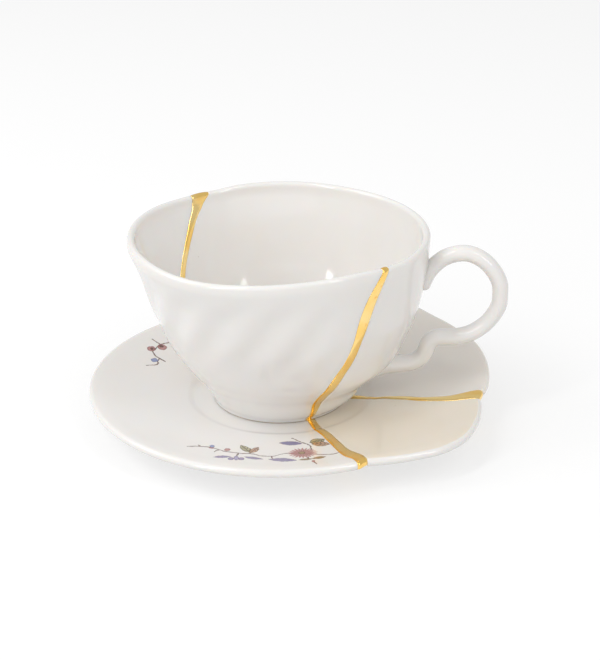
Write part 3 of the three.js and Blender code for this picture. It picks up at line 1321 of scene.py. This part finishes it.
@dataclass
class SaucerGold:
    """The gold in the saucer's three joints."""

    name: str
    node: str
    form: SaucerForm
    joints: Sequence[tuple[Table, Table, Table]]
    look: GoldLook
    overlap: float = 1.2
    turnover: float = 0.85

    def build(self, gold: bpy.types.Material) -> bpy.types.Object:
        """Builds the three arms and joins them in one piece.

        Args:
            gold: The finish of the gold.

        Returns:
            The gold's object.
        """
        rows = self.form.rows()
        arms = [self._arm(rows, *joint) for joint in self.joints]
        return joined_piece(self.name, self.node, arms, gold)

    def centre(self, joint: Table, radius: float) -> Vector:
        """The middle of a joint.

        Args:
            joint: The joint's table.
            radius: The radius in millimetres.

        Returns:
            The plan point in millimetres.
        """
        form = self.form
        if radius >= form.hub:
            return bearing_point(radius, joint.at(radius / form.radius, 1))
        hub = bearing_point(form.hub, joint.at(form.hub / form.radius, 1))
        meet = bearing_point(*form.meet)
        return meet.lerp(hub, radius / form.hub)

    def _arm(self, rows: list[Row], joint: Table, before: Table, after: Table) -> Arm:
        """One arm, from the meeting point to the lip.

        Args:
            rows: The section's rows.
            joint: The joint that it fills.
            before: The edge table of the shard before the joint.
            after: The edge table of the shard after the joint.

        Returns:
            The arm, still open at its ends.
        """
        form = self.form
        last = len(rows) - 1

        def blend(weight: float) -> Section:
            """A section between those of the two shards.

            Args:
                weight: How far towards the shard after the joint.

            Returns:
                The section.
            """

            def section(row: int, bearing: float) -> tuple[float, float]:
                """Radius and height of a row between the two shards."""
                one = form.section(rows[row], before, bearing)
                two = form.section(rows[row], after, bearing)
                return lerp(one[0], two[0], weight), lerp(one[1], two[1], weight)

            return section

        def shape(row: int, across: float) -> Vector:
            """The place of a corner on the band.

            Args:
                row: The corner's row.
                across: Its place across the band, from -1 to 1.

            Returns:
                Its place in metres.
            """
            section = blend(smoothstep(-self.turnover, self.turnover, across))
            plain = section(row, joint.at(1.0, 1))
            bearing = joint.at(max(plain[0], form.hub) / form.radius, 1)
            plain = section(row, bearing)
            spot = Vector((plain[0], bearing * GRAIN_PER_DEGREE, plain[1]))
            half = self.look.half(joint.at(plain[0] / form.radius, 2), spot)
            swell = self.look.swell(across, spot + Vector((0, across * GRAIN_ACROSS, 0)))
            radius, height = skin_point(section, last, row, bearing, swell)
            if row in (0, last):
                radius = -self.overlap
            middle = self.centre(joint, radius)
            ahead = self.centre(joint, radius + 1.0) - self.centre(joint, radius - 1.0)
            ahead.normalize()
            side = Vector((-ahead.y, ahead.x)) * half * across
            return placed(middle + side, height)

        return gold_arm(len(rows), self.look, shape)


Socket = bpy.types.NodeSocket
Source = float | tuple | bpy.types.NodeSocket


class NodeKit:
    """A short way to write a material's nodes."""

    def __init__(self, name: str) -> None:
        """Makes an empty material with one surface shader.

        Args:
            name: The material's name.
        """
        self.material = bpy.data.materials.new(name)
        self.material.use_nodes = True
        self.tree = self.material.node_tree
        self.tree.nodes.clear()
        output = self.tree.nodes.new("ShaderNodeOutputMaterial")
        self.shader = self.tree.nodes.new("ShaderNodeBsdfPrincipled")
        self.tree.links.new(self.shader.outputs[0], output.inputs["Surface"])

    def set(self, **values: float | tuple) -> None:
        """Sets constants on the surface shader's own sockets."""
        for name, value in values.items():
            self.shader.inputs[name.replace("_", " ")].default_value = value

    def feed(self, socket: str, source: Socket) -> None:
        """Links a source to one of the surface shader's sockets."""
        self.tree.links.new(source, self.shader.inputs[socket])

    def node(
        self,
        kind: str,
        values: dict[str | int, Source] | None = None,
        **props: str | bool,
    ) -> bpy.types.Node:
        """Adds a node.

        Args:
            kind: The node's type without its ShaderNode prefix.
            values: Inputs by name or index: a socket is linked, a value is set.
            **props: The node's own properties.

        Returns:
            The new node.
        """
        made = self.tree.nodes.new("ShaderNode" + kind)
        for prop, value in props.items():
            setattr(made, prop, value)
        for key, value in (values or {}).items():
            if isinstance(value, Socket):
                self.tree.links.new(value, made.inputs[key])
            else:
                made.inputs[key].default_value = value
        return made

    def math(self, operation: str, *values: Source) -> Socket:
        """One arithmetic step, and its result."""
        return self.node("Math", dict(enumerate(values)), operation=operation).outputs[0]

    def place(self) -> Socket:
        """Object coordinates moved to the cup's axis.

        Returns:
            The place of each point, in metres from the axis.
        """
        coords = self.node("TexCoord").outputs["Object"]
        centre = (-AXIS_X * MM, -AXIS_Y * MM, 0)
        return self.node("Mapping", {"Vector": coords, "Location": centre}).outputs[0]

    def noise(self, place: Socket, scale: float, detail: float = 3.0) -> Socket:
        """A noise value over a place."""
        values = {"Vector": place, "Scale": scale, "Detail": detail}
        return self.node("TexNoise", values).outputs[0]

    def grain(self, place: Socket, broad: float, fine: float, share: float) -> Socket:
        """Broad lumps with a share of fine ones on them.

        Args:
            place: Where to read the noise.
            broad: Scale of the broad lumps.
            fine: Scale of the fine lumps.
            share: How high the fine lumps are beside the broad ones.

        Returns:
            The height.
        """
        lumps = self.noise(place, broad, 1.0)
        return self.math("ADD", lumps, self.math("MULTIPLY", self.noise(place, fine), share))

    def ranged(
        self, value: Source, low: float, high: float, to_low: float, to_high: float
    ) -> Socket:
        """A value carried smoothly from one range to another."""
        values = {0: value, 1: low, 2: high, 3: to_low, 4: to_high}
        return self.node("MapRange", values, interpolation_type="SMOOTHSTEP").outputs[0]

    def mix(self, share: Source, one: Source, two: Source) -> Socket:
        """A colour between two, by a share."""
        values = {0: share, 6: one, 7: two}
        return self.node("Mix", values, data_type="RGBA", clamp_factor=True).outputs[2]

    def vector(self, operation: str, *values: Source) -> Socket:
        """One vector step, and its result."""
        made = self.node("VectorMath", dict(enumerate(values)), operation=operation)
        return made.outputs["Value" if operation in ("LENGTH", "DISTANCE") else "Vector"]

    def mapped(
        self,
        place: Socket,
        middle: tuple[float, float],
        turn: float,
        size: tuple[float, float],
    ) -> Socket:
        """A place seen from a middle, turned and measured in sizes.

        Args:
            place: The place to carry over.
            middle: The new middle.
            turn: The new frame's turn in degrees.
            size: The length of one unit each way.

        Returns:
            The place in the new frame.
        """
        values = {
            "Vector": place,
            "Location": (*middle, 0),
            "Rotation": (0, 0, math.radians(turn)),
            "Scale": (*size, 1),
        }
        return self.node("Mapping", values, vector_type="TEXTURE").outputs[0]

    def bump(self, height: Socket, strength: float, distance: float) -> Socket:
        """A bumped normal from a height."""
        values = {"Height": height, "Strength": strength, "Distance": distance}
        return self.node("Bump", values).outputs[0]


Colour = tuple[float, float, float, float]
# Painted contact shade: the brown of the thin line where the cup's foot rests on the saucer
CONTACT_SHADE: Colour = (0.52, 0.40, 0.28, 1)
KILN_SPECK: Colour = (0.42, 0.34, 0.26, 1)


@dataclass(frozen=True)
class Glaze:
    """A glossy glaze over porcelain: its tints, gloss and depth."""

    name: str
    tint: Colour
    warm: Colour
    roughness: tuple[float, float] = (0.05, 0.09)
    depth: float = 0.30
    clouds: float = 34.0
    specks: float = 150.0
    grain: tuple[float, float, float] = (55.0, 900.0, 0.03)
    relief: tuple[float, float] = (0.10, 0.0010)
    # Height in millimetres below which the foot is browned as painted contact shade, and the
    # band that it fades over
    contact_shade_below: float = 0.0
    contact_shade_band: float = 0.2

    def surface(self, kit: NodeKit, place: Socket) -> Socket:
        """Lays the glaze's gloss and relief and gives its colour.

        Args:
            kit: The material's nodes.
            place: Coordinates centred on the cup's axis.

        Returns:
            The glaze's own colour, before any painting.
        """
        cloud = kit.noise(place, self.clouds)
        body = kit.mix(kit.ranged(cloud, 0.35, 0.68, 0.0, 1.0), self.tint, self.warm)
        cells = {"Vector": place, "Scale": self.specks, "Randomness": 1.0}
        speck = kit.node("TexVoronoi", cells)
        tiny = kit.ranged(speck.outputs["Distance"], 0.015, 0.04, 0.55, 0.0)
        rare = kit.ranged(kit.noise(place, 60.0, 1.0), 0.60, 0.66, 0.0, 1.0)
        colour = kit.mix(kit.math("MULTIPLY", tiny, rare), body, KILN_SPECK)
        # Painted contact shade: the lowest band of the foot, where it rests on the saucer, is
        # browned
        if self.contact_shade_below:
            height = kit.node("SeparateXYZ", {0: place}).outputs[2]
            edge = self.contact_shade_below * MM
            shade_share = kit.ranged(height, edge, edge + self.contact_shade_band * MM, 0.9, 0.0)
            colour = kit.mix(shade_share, colour, CONTACT_SHADE)
        low, high = self.roughness
        kit.feed("Roughness", kit.ranged(kit.noise(place, 90.0), 0.3, 0.7, low, high))
        kit.feed("Normal", kit.bump(kit.grain(place, *self.grain), *self.relief))
        kit.set(
            IOR=1.6,
            Subsurface_Weight=self.depth,
            Subsurface_Radius=(1.0, 0.72, 0.5),
            Subsurface_Scale=0.003,
        )
        return colour

    def build(self) -> bpy.types.Material:
        """Builds the glaze's material.

        Returns:
            The material.
        """
        kit = NodeKit(self.name)
        kit.feed("Base Color", self.surface(kit, kit.place()))
        return kit.material


RED = ((0.47, 0.21, 0.20, 1), (0.27, 0.09, 0.09, 1))
BLUE = ((0.24, 0.29, 0.52, 1), (0.10, 0.10, 0.24, 1))
PURPLE = ((0.29, 0.24, 0.42, 1), (0.13, 0.09, 0.20, 1))
LILAC = ((0.37, 0.33, 0.52, 1), (0.17, 0.13, 0.27, 1))
INDIGO = ((0.15, 0.14, 0.32, 1), (0.23, 0.15, 0.22, 1))
GREEN = ((0.47, 0.43, 0.24, 1), (0.09, 0.07, 0.035, 1))
ORANGE = ((0.56, 0.33, 0.20, 1), (0.14, 0.08, 0.045, 1))
OLIVE = ((0.34, 0.24, 0.12, 1), (0.15, 0.09, 0.045, 1))
BARK = (0.12, 0.055, 0.042, 1)

Stroke = tuple[tuple[float, float], ...]

BOUGH: Stroke = (
    (-26.2, -53.4),
    (-22.1, -51.9),
    (-19.4, -51.6),
    (-17.4, -52.2),
    (-15.3, -53.2),
    (-13.1, -54.4),
    (-10.3, -54.9),
    (-7.6, -55.3),
    (-3.7, -55.1),
    (-1.6, -55.9),
    (0.4, -56.7),
    (3.5, -56.6),
    (5.3, -55.6),
    (6.4, -54.2),
    (10.3, -53.0),
    (18.0, -53.7),
    (21.7, -54.1),
    (26.3, -52.3),
)
TWIGS: tuple[Stroke, ...] = (
    ((-22.9, -50.6), (-22.1, -51.8)),
    ((-16.4, -55.9), (-16.0, -54.6), (-15.0, -53.6)),
    ((-8.1, -55.6), (-8.3, -58.0)),
    ((3.5, -56.6), (4.2, -58.8)),
    ((8.7, -38.3), (12.3, -41.9), (14.9, -44.0), (16.0, -45.6), (16.8, -49.8)),
    ((18.8, -61.9), (19.9, -63.8)),
    ((16.3, -56.4), (16.4, -59.2)),
    ((-55.5, 32.1), (-53.4, 30.5), (-51.8, 29.5), (-53.7, 23.0), (-51.9, 20.0), (-47.4, 17.0)),
    ((-51.8, 29.5), (-50.2, 30.8), (-48.7, 32.1)),
    ((-50.1, 18.3), (-50.5, 16.1), (-49.8, 15.1), (-50.1, 13.4), (-53.8, 11.5)),
)


class Shape(Enum):
    """The outline of a painted motif."""

    BUD = "bud"
    LEAF = "leaf"
    FLOWER = "flower"


@dataclass(frozen=True)
class Motif:
    """One painted motif: its outline, middle, half sizes, turn and two tints."""

    shape: Shape
    x: float
    y: float
    long: float
    wide: float
    turn: float
    tints: tuple[Colour, Colour]
    veins: float = 0.3


MOTIFS = (
    Motif(Shape.LEAF, 15.7, -59.1, 2.5, 1.1, 16, OLIVE, 0.6),
    Motif(Shape.LEAF, 20.1, -57.3, 2.7, 1.2, 23, OLIVE, 0.6),
    Motif(Shape.BUD, 18.5, -61.0, 0.7, 1.1, 8, RED),
    Motif(Shape.BUD, -18.0, -52.1, 0.95, 0.85, 0, RED),
    Motif(Shape.BUD, -18.1, -50.5, 0.95, 1.3, 4, BLUE),
    Motif(Shape.BUD, -12.4, -52.6, 1.14, 1.36, 0, RED),
    Motif(Shape.LEAF, -6.2, -50.6, 4.3, 1.7, -57, GREEN, 0.9),
    Motif(Shape.LEAF, -3.2, -51.4, 3.7, 1.5, 72, ORANGE, 0.9),
    Motif(Shape.LEAF, -13.0, -60.2, 3.4, 1.25, 20, PURPLE),
    Motif(Shape.LEAF, -2.3, -59.3, 3.8, 1.25, -12, PURPLE),
    Motif(Shape.BUD, -9.8, -61.5, 1.06, 1.6, 6, PURPLE),
    Motif(Shape.BUD, -6.3, -60.8, 1.06, 1.6, 6, PURPLE),
    Motif(Shape.BUD, -8.1, -60.5, 0.96, 2.3, 8, LILAC),
    Motif(Shape.LEAF, 7.9, -60.0, 5.2, 1.9, -1, PURPLE),
    Motif(Shape.LEAF, 8.7, -43.2, 4.4, 2.1, -2, INDIGO),
    Motif(Shape.LEAF, 17.9, -40.7, 3.2, 2.6, 38, GREEN, 0.9),
    Motif(Shape.LEAF, 19.4, -43.6, 3.5, 2.4, -6, ORANGE, 0.9),
    Motif(Shape.FLOWER, 14.0, -52.6, 5.4, 5.3, 8, RED),
    Motif(Shape.BUD, 13.6, -52.4, 1.3, 1.4, 8, OLIVE),
    Motif(Shape.BUD, -54.6, 24.9, 1.7, 2.1, -6, RED),
    Motif(Shape.BUD, -54.3, 25.0, 0.7, 1.0, -6, (BARK, BARK)),
    Motif(Shape.BUD, -50.7, 27.7, 2.3, 1.9, -66, RED),
    Motif(Shape.BUD, -51.2, 28.2, 1.1, 0.9, -66, (BARK, BARK)),
    Motif(Shape.LEAF, -51.7, 16.7, 1.6, 1.7, -5, BLUE),
)


@dataclass(frozen=True)
class PaintedGlaze:
    """A glaze with small sprigs painted on it by hand, in millimetres of plan."""

    name: str
    glaze: Glaze
    bough: Stroke = BOUGH
    twigs: tuple[Stroke, ...] = TWIGS
    motifs: tuple[Motif, ...] = MOTIFS
    bough_span: tuple[float, float] = (-60.0, -50.0)
    bough_slope: float = 0.85
    stroke: float = 0.29
    petals: int = 22

    def build(self) -> bpy.types.Material:
        """Builds the painted material.

        Returns:
            The material.
        """
        kit = NodeKit(self.name)
        place = kit.place()
        colour = self.glaze.surface(kit, place)
        plan = kit.vector("MULTIPLY", place, (1000, 1000, 0))
        shaken = kit.node("TexNoise", {"Vector": plan, "Scale": 0.8, "Detail": 2.0}).outputs[1]
        shake = kit.vector("SUBTRACT", shaken, (0.5, 0.5, 0.5))
        plan = kit.vector("ADD", plan, kit.vector("MULTIPLY", shake, (0.9, 0.9, 0)))
        line = self.bough_distance(kit, plan)
        for twig in self.twigs:
            for start, end in zip(twig, twig[1:]):
                line = kit.math("MINIMUM", line, self.stroke_distance(kit, plan, start, end))
        share = kit.ranged(line, self.stroke * 0.55, self.stroke * 1.25, 0.9, 0.0)
        colour = kit.mix(share, colour, BARK)
        for motif in self.motifs:
            colour = self.painted(kit, plan, motif, colour)
        kit.feed("Base Color", colour)
        return kit.material

    def stroke_distance(
        self,
        kit: NodeKit,
        plan: Socket,
        start: tuple[float, float],
        end: tuple[float, float],
    ) -> Socket:
        """Distance from one straight brush stroke.

        Args:
            kit: The material's nodes.
            plan: The plan point in millimetres.
            start: Where the stroke starts.
            end: Where the stroke ends.

        Returns:
            The distance in millimetres.
        """
        run, rise = end[0] - start[0], end[1] - start[1]
        local = kit.mapped(plan, start, math.degrees(math.atan2(rise, run)), (1, 1))
        capped = kit.vector("MINIMUM", local, (math.hypot(run, rise), 0, 0))
        return kit.vector("DISTANCE", local, kit.vector("MAXIMUM", capped, (0, 0, 0)))

    def bough_distance(self, kit: NodeKit, plan: Socket) -> Socket:
        """Distance from the long bough, read from a curve of its height.

        Args:
            kit: The material's nodes.
            plan: The plan point in millimetres.

        Returns:
            The distance in millimetres.
        """
        parts = kit.node("SeparateXYZ", {0: plan})
        low, high = self.bough[0][0], self.bough[-1][0]
        floor, top = self.bough_span
        share = kit.node("MapRange", {0: parts.outputs[0], 1: low, 2: high}).outputs[0]
        curve = kit.node("FloatCurve", {"Value": share})
        line = curve.mapping.curves[0]
        wide, tall = high - low, top - floor
        spots = [((x - low) / wide, (y - floor) / tall) for x, y in self.bough]
        line.points[0].location = spots[0]
        line.points[1].location = spots[-1]
        for spot in spots[1:-1]:
            line.points.new(*spot)
        curve.mapping.update()
        height = kit.math("MULTIPLY_ADD", curve.outputs[0], top - floor, floor)
        away = kit.math("ABSOLUTE", kit.math("SUBTRACT", parts.outputs[1], height))
        before = kit.math("SUBTRACT", low, parts.outputs[0])
        after = kit.math("SUBTRACT", parts.outputs[0], high)
        level = kit.math("MULTIPLY", away, self.bough_slope)
        return kit.math("MAXIMUM", level, kit.math("MAXIMUM", before, after))

    def painted(self, kit: NodeKit, plan: Socket, motif: Motif, under: Socket) -> Socket:
        """Paints one more motif.

        Args:
            kit: The material's nodes.
            plan: The plan point in millimetres.
            motif: What is painted.
            under: The colour so far.

        Returns:
            The colour with the motif over it.
        """
        size = (motif.long, motif.wide)
        local = kit.mapped(plan, (motif.x, motif.y), motif.turn, size)
        shade = None
        if motif.shape is Shape.LEAF:
            parts = kit.node("SeparateXYZ", {0: local})
            x, y = parts.outputs[0], kit.math("ABSOLUTE", parts.outputs[1])
            reach = kit.math("MULTIPLY_ADD", x, x, y)
            slant = kit.math("MULTIPLY_ADD", y, 6.0, kit.math("MULTIPLY", x, 15.0))
            rib = kit.ranged(kit.math("SINE", slant), 0.2, 0.9, 0.0, motif.veins)
            spine = kit.ranged(y, 0.06, 0.20, motif.veins, 0.0)
            edge = kit.ranged(reach, 0.66, 0.92, 0.0, 1.0)
            shade = kit.math("MAXIMUM", edge, kit.math("MAXIMUM", rib, spine))
        else:
            reach = kit.vector("LENGTH", local)
        if motif.shape is Shape.FLOWER:
            parts = kit.node("SeparateXYZ", {0: local})
            angle = kit.math("ARCTAN2", parts.outputs[1], parts.outputs[0])
            wave = kit.math("SINE", kit.math("MULTIPLY", angle, self.petals / 2))
            ridge = kit.math("ABSOLUTE", wave)
            reach = kit.math("MULTIPLY_ADD", kit.math("SUBTRACT", 1.0, ridge), 0.38, reach)
            shade = kit.ranged(ridge, 0.25, 0.8, 1.0, 0.0)
        if shade is None:
            shade = kit.ranged(reach, 0.55, 0.92, 0.0, 1.0)
        tint = kit.mix(shade, *motif.tints)
        return kit.mix(kit.ranged(reach, 0.88, 1.02, 0.92, 0.0), under, tint)


@dataclass(frozen=True)
class GoldFinish:
    """Polished gold over lacquer, softly lumped, in lighter and deeper patches, with scattered
    spots of painted orange reflection.
    """

    name: str
    light: Colour
    deep: Colour
    orange: Colour
    patches: float = 120.0
    glints: float = 300.0
    roughness: tuple[float, float] = (0.09, 0.17)
    grain: tuple[float, float, float] = (130.0, 1500.0, 0.02)
    relief: tuple[float, float] = (0.16, 0.0010)

    def build(self) -> bpy.types.Material:
        """Builds the gold's material.

        Returns:
            The material.
        """
        kit = NodeKit(self.name)
        place = kit.place()
        broad = kit.noise(place, self.patches, 2.0)
        body = kit.mix(kit.ranged(broad, 0.35, 0.65, 0.0, 1.0), self.light, self.deep)
        # Painted reflection: orange spots scattered by noise, standing in for the deeper
        # orange that the gold reflects in its creases and at its edges
        glint = kit.ranged(kit.noise(place, self.glints, 2.0), 0.66, 0.76, 0.0, 0.6)
        kit.feed("Base Color", kit.mix(glint, body, self.orange))
        low, high = self.roughness
        kit.feed("Roughness", kit.ranged(kit.noise(place, 420.0), 0.3, 0.7, low, high))
        kit.feed("Normal", kit.bump(kit.grain(place, *self.grain), *self.relief))
        kit.set(Metallic=1.0)
        return kit.material


@dataclass(frozen=True)
class Ground:
    """The plain pale floor under the saucer, whiter to the eye than the light it casts."""

    tint: Colour = (0.45, 0.45, 0.45, 1)
    seen_glow: float = 0.572
    cast_glow: float = 0.24
    size: float = 12.0

    def build(self) -> bpy.types.Object:
        """Builds the floor as one wide plane.

        Returns:
            The floor's object.
        """
        shell = bmesh.new()
        bmesh.ops.create_grid(shell, x_segments=1, y_segments=1, size=self.size / 2)
        mesh = bpy.data.meshes.new("floor")
        shell.to_mesh(mesh)
        shell.free()
        kit = NodeKit("pale_floor")
        kit.set(Base_Color=self.tint, Roughness=0.9, Specular_IOR_Level=0.0)
        kit.set(Emission_Color=(1, 1, 1, 1))
        path = kit.node("LightPath").outputs
        seen = kit.math("MAXIMUM", path["Is Camera Ray"], path["Is Glossy Ray"])
        kit.feed(
            "Emission Strength",
            kit.math("MULTIPLY_ADD", seen, self.seen_glow - self.cast_glow, self.cast_glow),
        )
        mesh.materials.append(kit.material)
        floor = linked("floor", mesh)
        return floor


@dataclass(frozen=True)
class SoftBox:
    """A soft rectangular light that looks at a point."""

    name: str
    place: tuple[float, float, float]
    size: tuple[float, float]
    power: float
    target: tuple[float, float, float] = (0, 0, 0.03)

    def build(self) -> bpy.types.Object:
        """Builds the light.

        Returns:
            The light's object.
        """
        data = bpy.data.lights.new(self.name, "AREA")
        data.shape = "RECTANGLE"
        data.size, data.size_y = self.size
        data.energy = self.power
        light = linked(self.name, data)
        light.location = self.place
        aim = Vector(self.target) - Vector(self.place)
        light.rotation_euler = aim.to_track_quat("-Z", "Y").to_euler()
        return light


@dataclass(frozen=True)
class Studio:
    """The room's light, and the camera at the photograph's angle.

    The camera's distance and height are in millimetres from the cup's axis and the
    floor, its bearing is in degrees, and its pitch, yaw and roll are in radians.
    """

    sky: float = 0.625
    boxes: tuple[SoftBox, ...] = (
        SoftBox("left_window", (-0.561, -0.693, 0.833), (0.14, 1.1), 3.8),
        SoftBox("right_window", (0.703, -0.549, 0.833), (0.14, 1.1), 2.3),
        SoftBox("side_box", (-0.912, -0.112, 0.801), (0.6, 0.6), 3.1),
        SoftBox("low_box", (0.178, -1.451, 0.367), (2.8, 0.56), 2.3),
    )
    bearing: float = 7.0
    distance: float = 510.2
    above: float = 262.8
    pitch: float = 0.4223
    yaw: float = 0.0148
    roll: float = -0.0053
    focal: float = 81.82
    sensor: float = 36.0
    nearest: float = 0.01

    def light(self) -> None:
        """Sets the even sky and the soft boxes."""
        world = bpy.data.worlds.new("studio_sky")
        world.use_nodes = True
        sky = world.node_tree.nodes["Background"]
        sky.inputs["Color"].default_value = (1.0, 1.0, 1.0, 1)
        sky.inputs["Strength"].default_value = self.sky
        bpy.context.scene.world = world
        for box in self.boxes:
            box.build()

    def camera(self) -> bpy.types.Object:
        """Places the camera and makes it the scene's own.

        Returns:
            The camera's object.
        """
        data = bpy.data.cameras.new("camera")
        data.sensor_width = self.sensor
        data.lens = self.focal
        data.clip_start = self.nearest
        turn = math.radians(self.bearing)
        heading = self.yaw - turn
        ahead = Vector(
            (
                math.sin(heading) * math.cos(self.pitch),
                math.cos(heading) * math.cos(self.pitch),
                -math.sin(self.pitch),
            )
        )
        right = Vector((math.cos(heading), -math.sin(heading), 0))
        up = right.cross(ahead)
        tilted = right * math.cos(self.roll) + up * math.sin(self.roll)
        risen = up * math.cos(self.roll) - right * math.sin(self.roll)
        place = placed(bearing_point(self.distance, self.bearing), self.above)
        camera = linked("camera", data)
        rotation = Matrix((tilted, risen, -ahead)).transposed()
        camera.matrix_world = Matrix.Translation(place) @ rotation.to_4x4()
        bpy.context.scene.camera = camera
        return camera

    def tone(self) -> None:
        """Keeps colours as they are lit."""
        view = bpy.context.scene.view_settings
        view.view_transform = "Standard"
        view.look = "None"
        view.exposure = 0.0


WHITE = Glaze("white_porcelain", (0.845, 0.830, 0.812, 1), (0.840, 0.820, 0.795, 1))
CUP_WHITE = replace(WHITE, name="cup_porcelain", contact_shade_below=CupForm.base)
PLAIN = Glaze("plain_porcelain", (0.843, 0.806, 0.752, 1), (0.836, 0.795, 0.735, 1))
PAINTED = PaintedGlaze("painted_porcelain", WHITE)
CREAM = Glaze("cream_glaze", (0.858, 0.796, 0.692, 1), (0.848, 0.780, 0.668, 1))
GOLD = GoldFinish(
    "joint_gold", (1.0, 0.75, 0.32, 1), (1.0, 0.66, 0.19, 1), (0.92, 0.42, 0.05, 1)
)


def build_cup(white: bpy.types.Material, gold: bpy.types.Material) -> None:
    """Builds the cup's shards, handle and gold.

    Args:
        white: The cup's glaze.
        gold: The finish of the gold.
    """
    form = CupForm()
    front, back = Table(FRONT_SEAM), Table(BACK_SEAM)
    plain = CupShard(
        "dressed_cup_plain_shard",
        "cup_plain_shard",
        form,
        start=front,
        end=back,
        turn=0.0,
        fluted=False,
        columns=170,
    )
    fluted = CupShard(
        "dressed_cup_fluted_shard",
        "cup_fluted_shard",
        form,
        start=back,
        end=front,
        turn=FULL_TURN,
        fluted=True,
        columns=190,
    )
    for shard in (plain, fluted):
        log.info("built %s", shard.build(white).name)
    handle = Handle("dressed_cup_handle", "cup_plain_shard", form)
    log.info("built %s", handle.build(white).name)
    band = CupGold("dressed_cup_gold_seam", "cup_gold_seam", form, (front, back), GoldLook())
    log.info("built %s", band.build(gold).name)


def build_saucer(white: bpy.types.Material, gold: bpy.types.Material) -> None:
    """Builds the saucer's shards and gold.

    Args:
        white: The glaze of the lips and undersides.
        gold: The finish of the gold.
    """
    form = SaucerForm()
    flowered, creamy, plain = (Table(t) for t in (FLOWERED_EDGE, CREAM_EDGE, PLAIN_EDGE))
    front, right, back = (Table(t) for t in (FRONT_JOINT, RIGHT_JOINT, BACK_JOINT))
    warm = PLAIN.build()
    shards = (
        (
            SaucerShard(
                "dressed_saucer_flowered_shard",
                "white_glaze",
                form,
                flowered,
                start=back,
                end=front,
                turn=FULL_TURN,
                columns=190,
                width=240.0,
            ),
            PAINTED.build(),
            white,
        ),
        (
            SaucerShard(
                "dressed_saucer_cream_shard",
                "cream_glaze",
                form,
                creamy,
                start=front,
                end=right,
                turn=0.0,
                columns=70,
                width=70.0,
            ),
            CREAM.build(),
            white,
        ),
        (
            SaucerShard(
                "dressed_saucer_plain_shard",
                "white_glaze",
                form,
                plain,
                start=right,
                end=back,
                turn=0.0,
                columns=100,
                width=120.0,
            ),
            warm,
            warm,
        ),
    )
    for shard, top, rest in shards:
        log.info("built %s", shard.build(top, rest).name)
    gold_arms = (
        (front, flowered, creamy),
        (right, creamy, plain),
        (back, plain, flowered),
    )
    joint_gold = SaucerGold(
        "dressed_saucer_gold_seam", "saucer_gold_seam", form, gold_arms, GoldLook()
    )
    log.info("built %s", joint_gold.build(gold).name)


def main() -> None:
    """Builds the cup, the saucer, the floor, the light and the camera."""
    logging.basicConfig(level=logging.INFO, format="%(name)s: %(message)s")
    white = WHITE.build()
    gold = GOLD.build()
    build_cup(CUP_WHITE.build(), gold)
    build_saucer(white, gold)
    Ground().build()
    studio = Studio()
    studio.light()
    studio.camera()
    studio.tone()


if __name__ == "__main__":
    main()
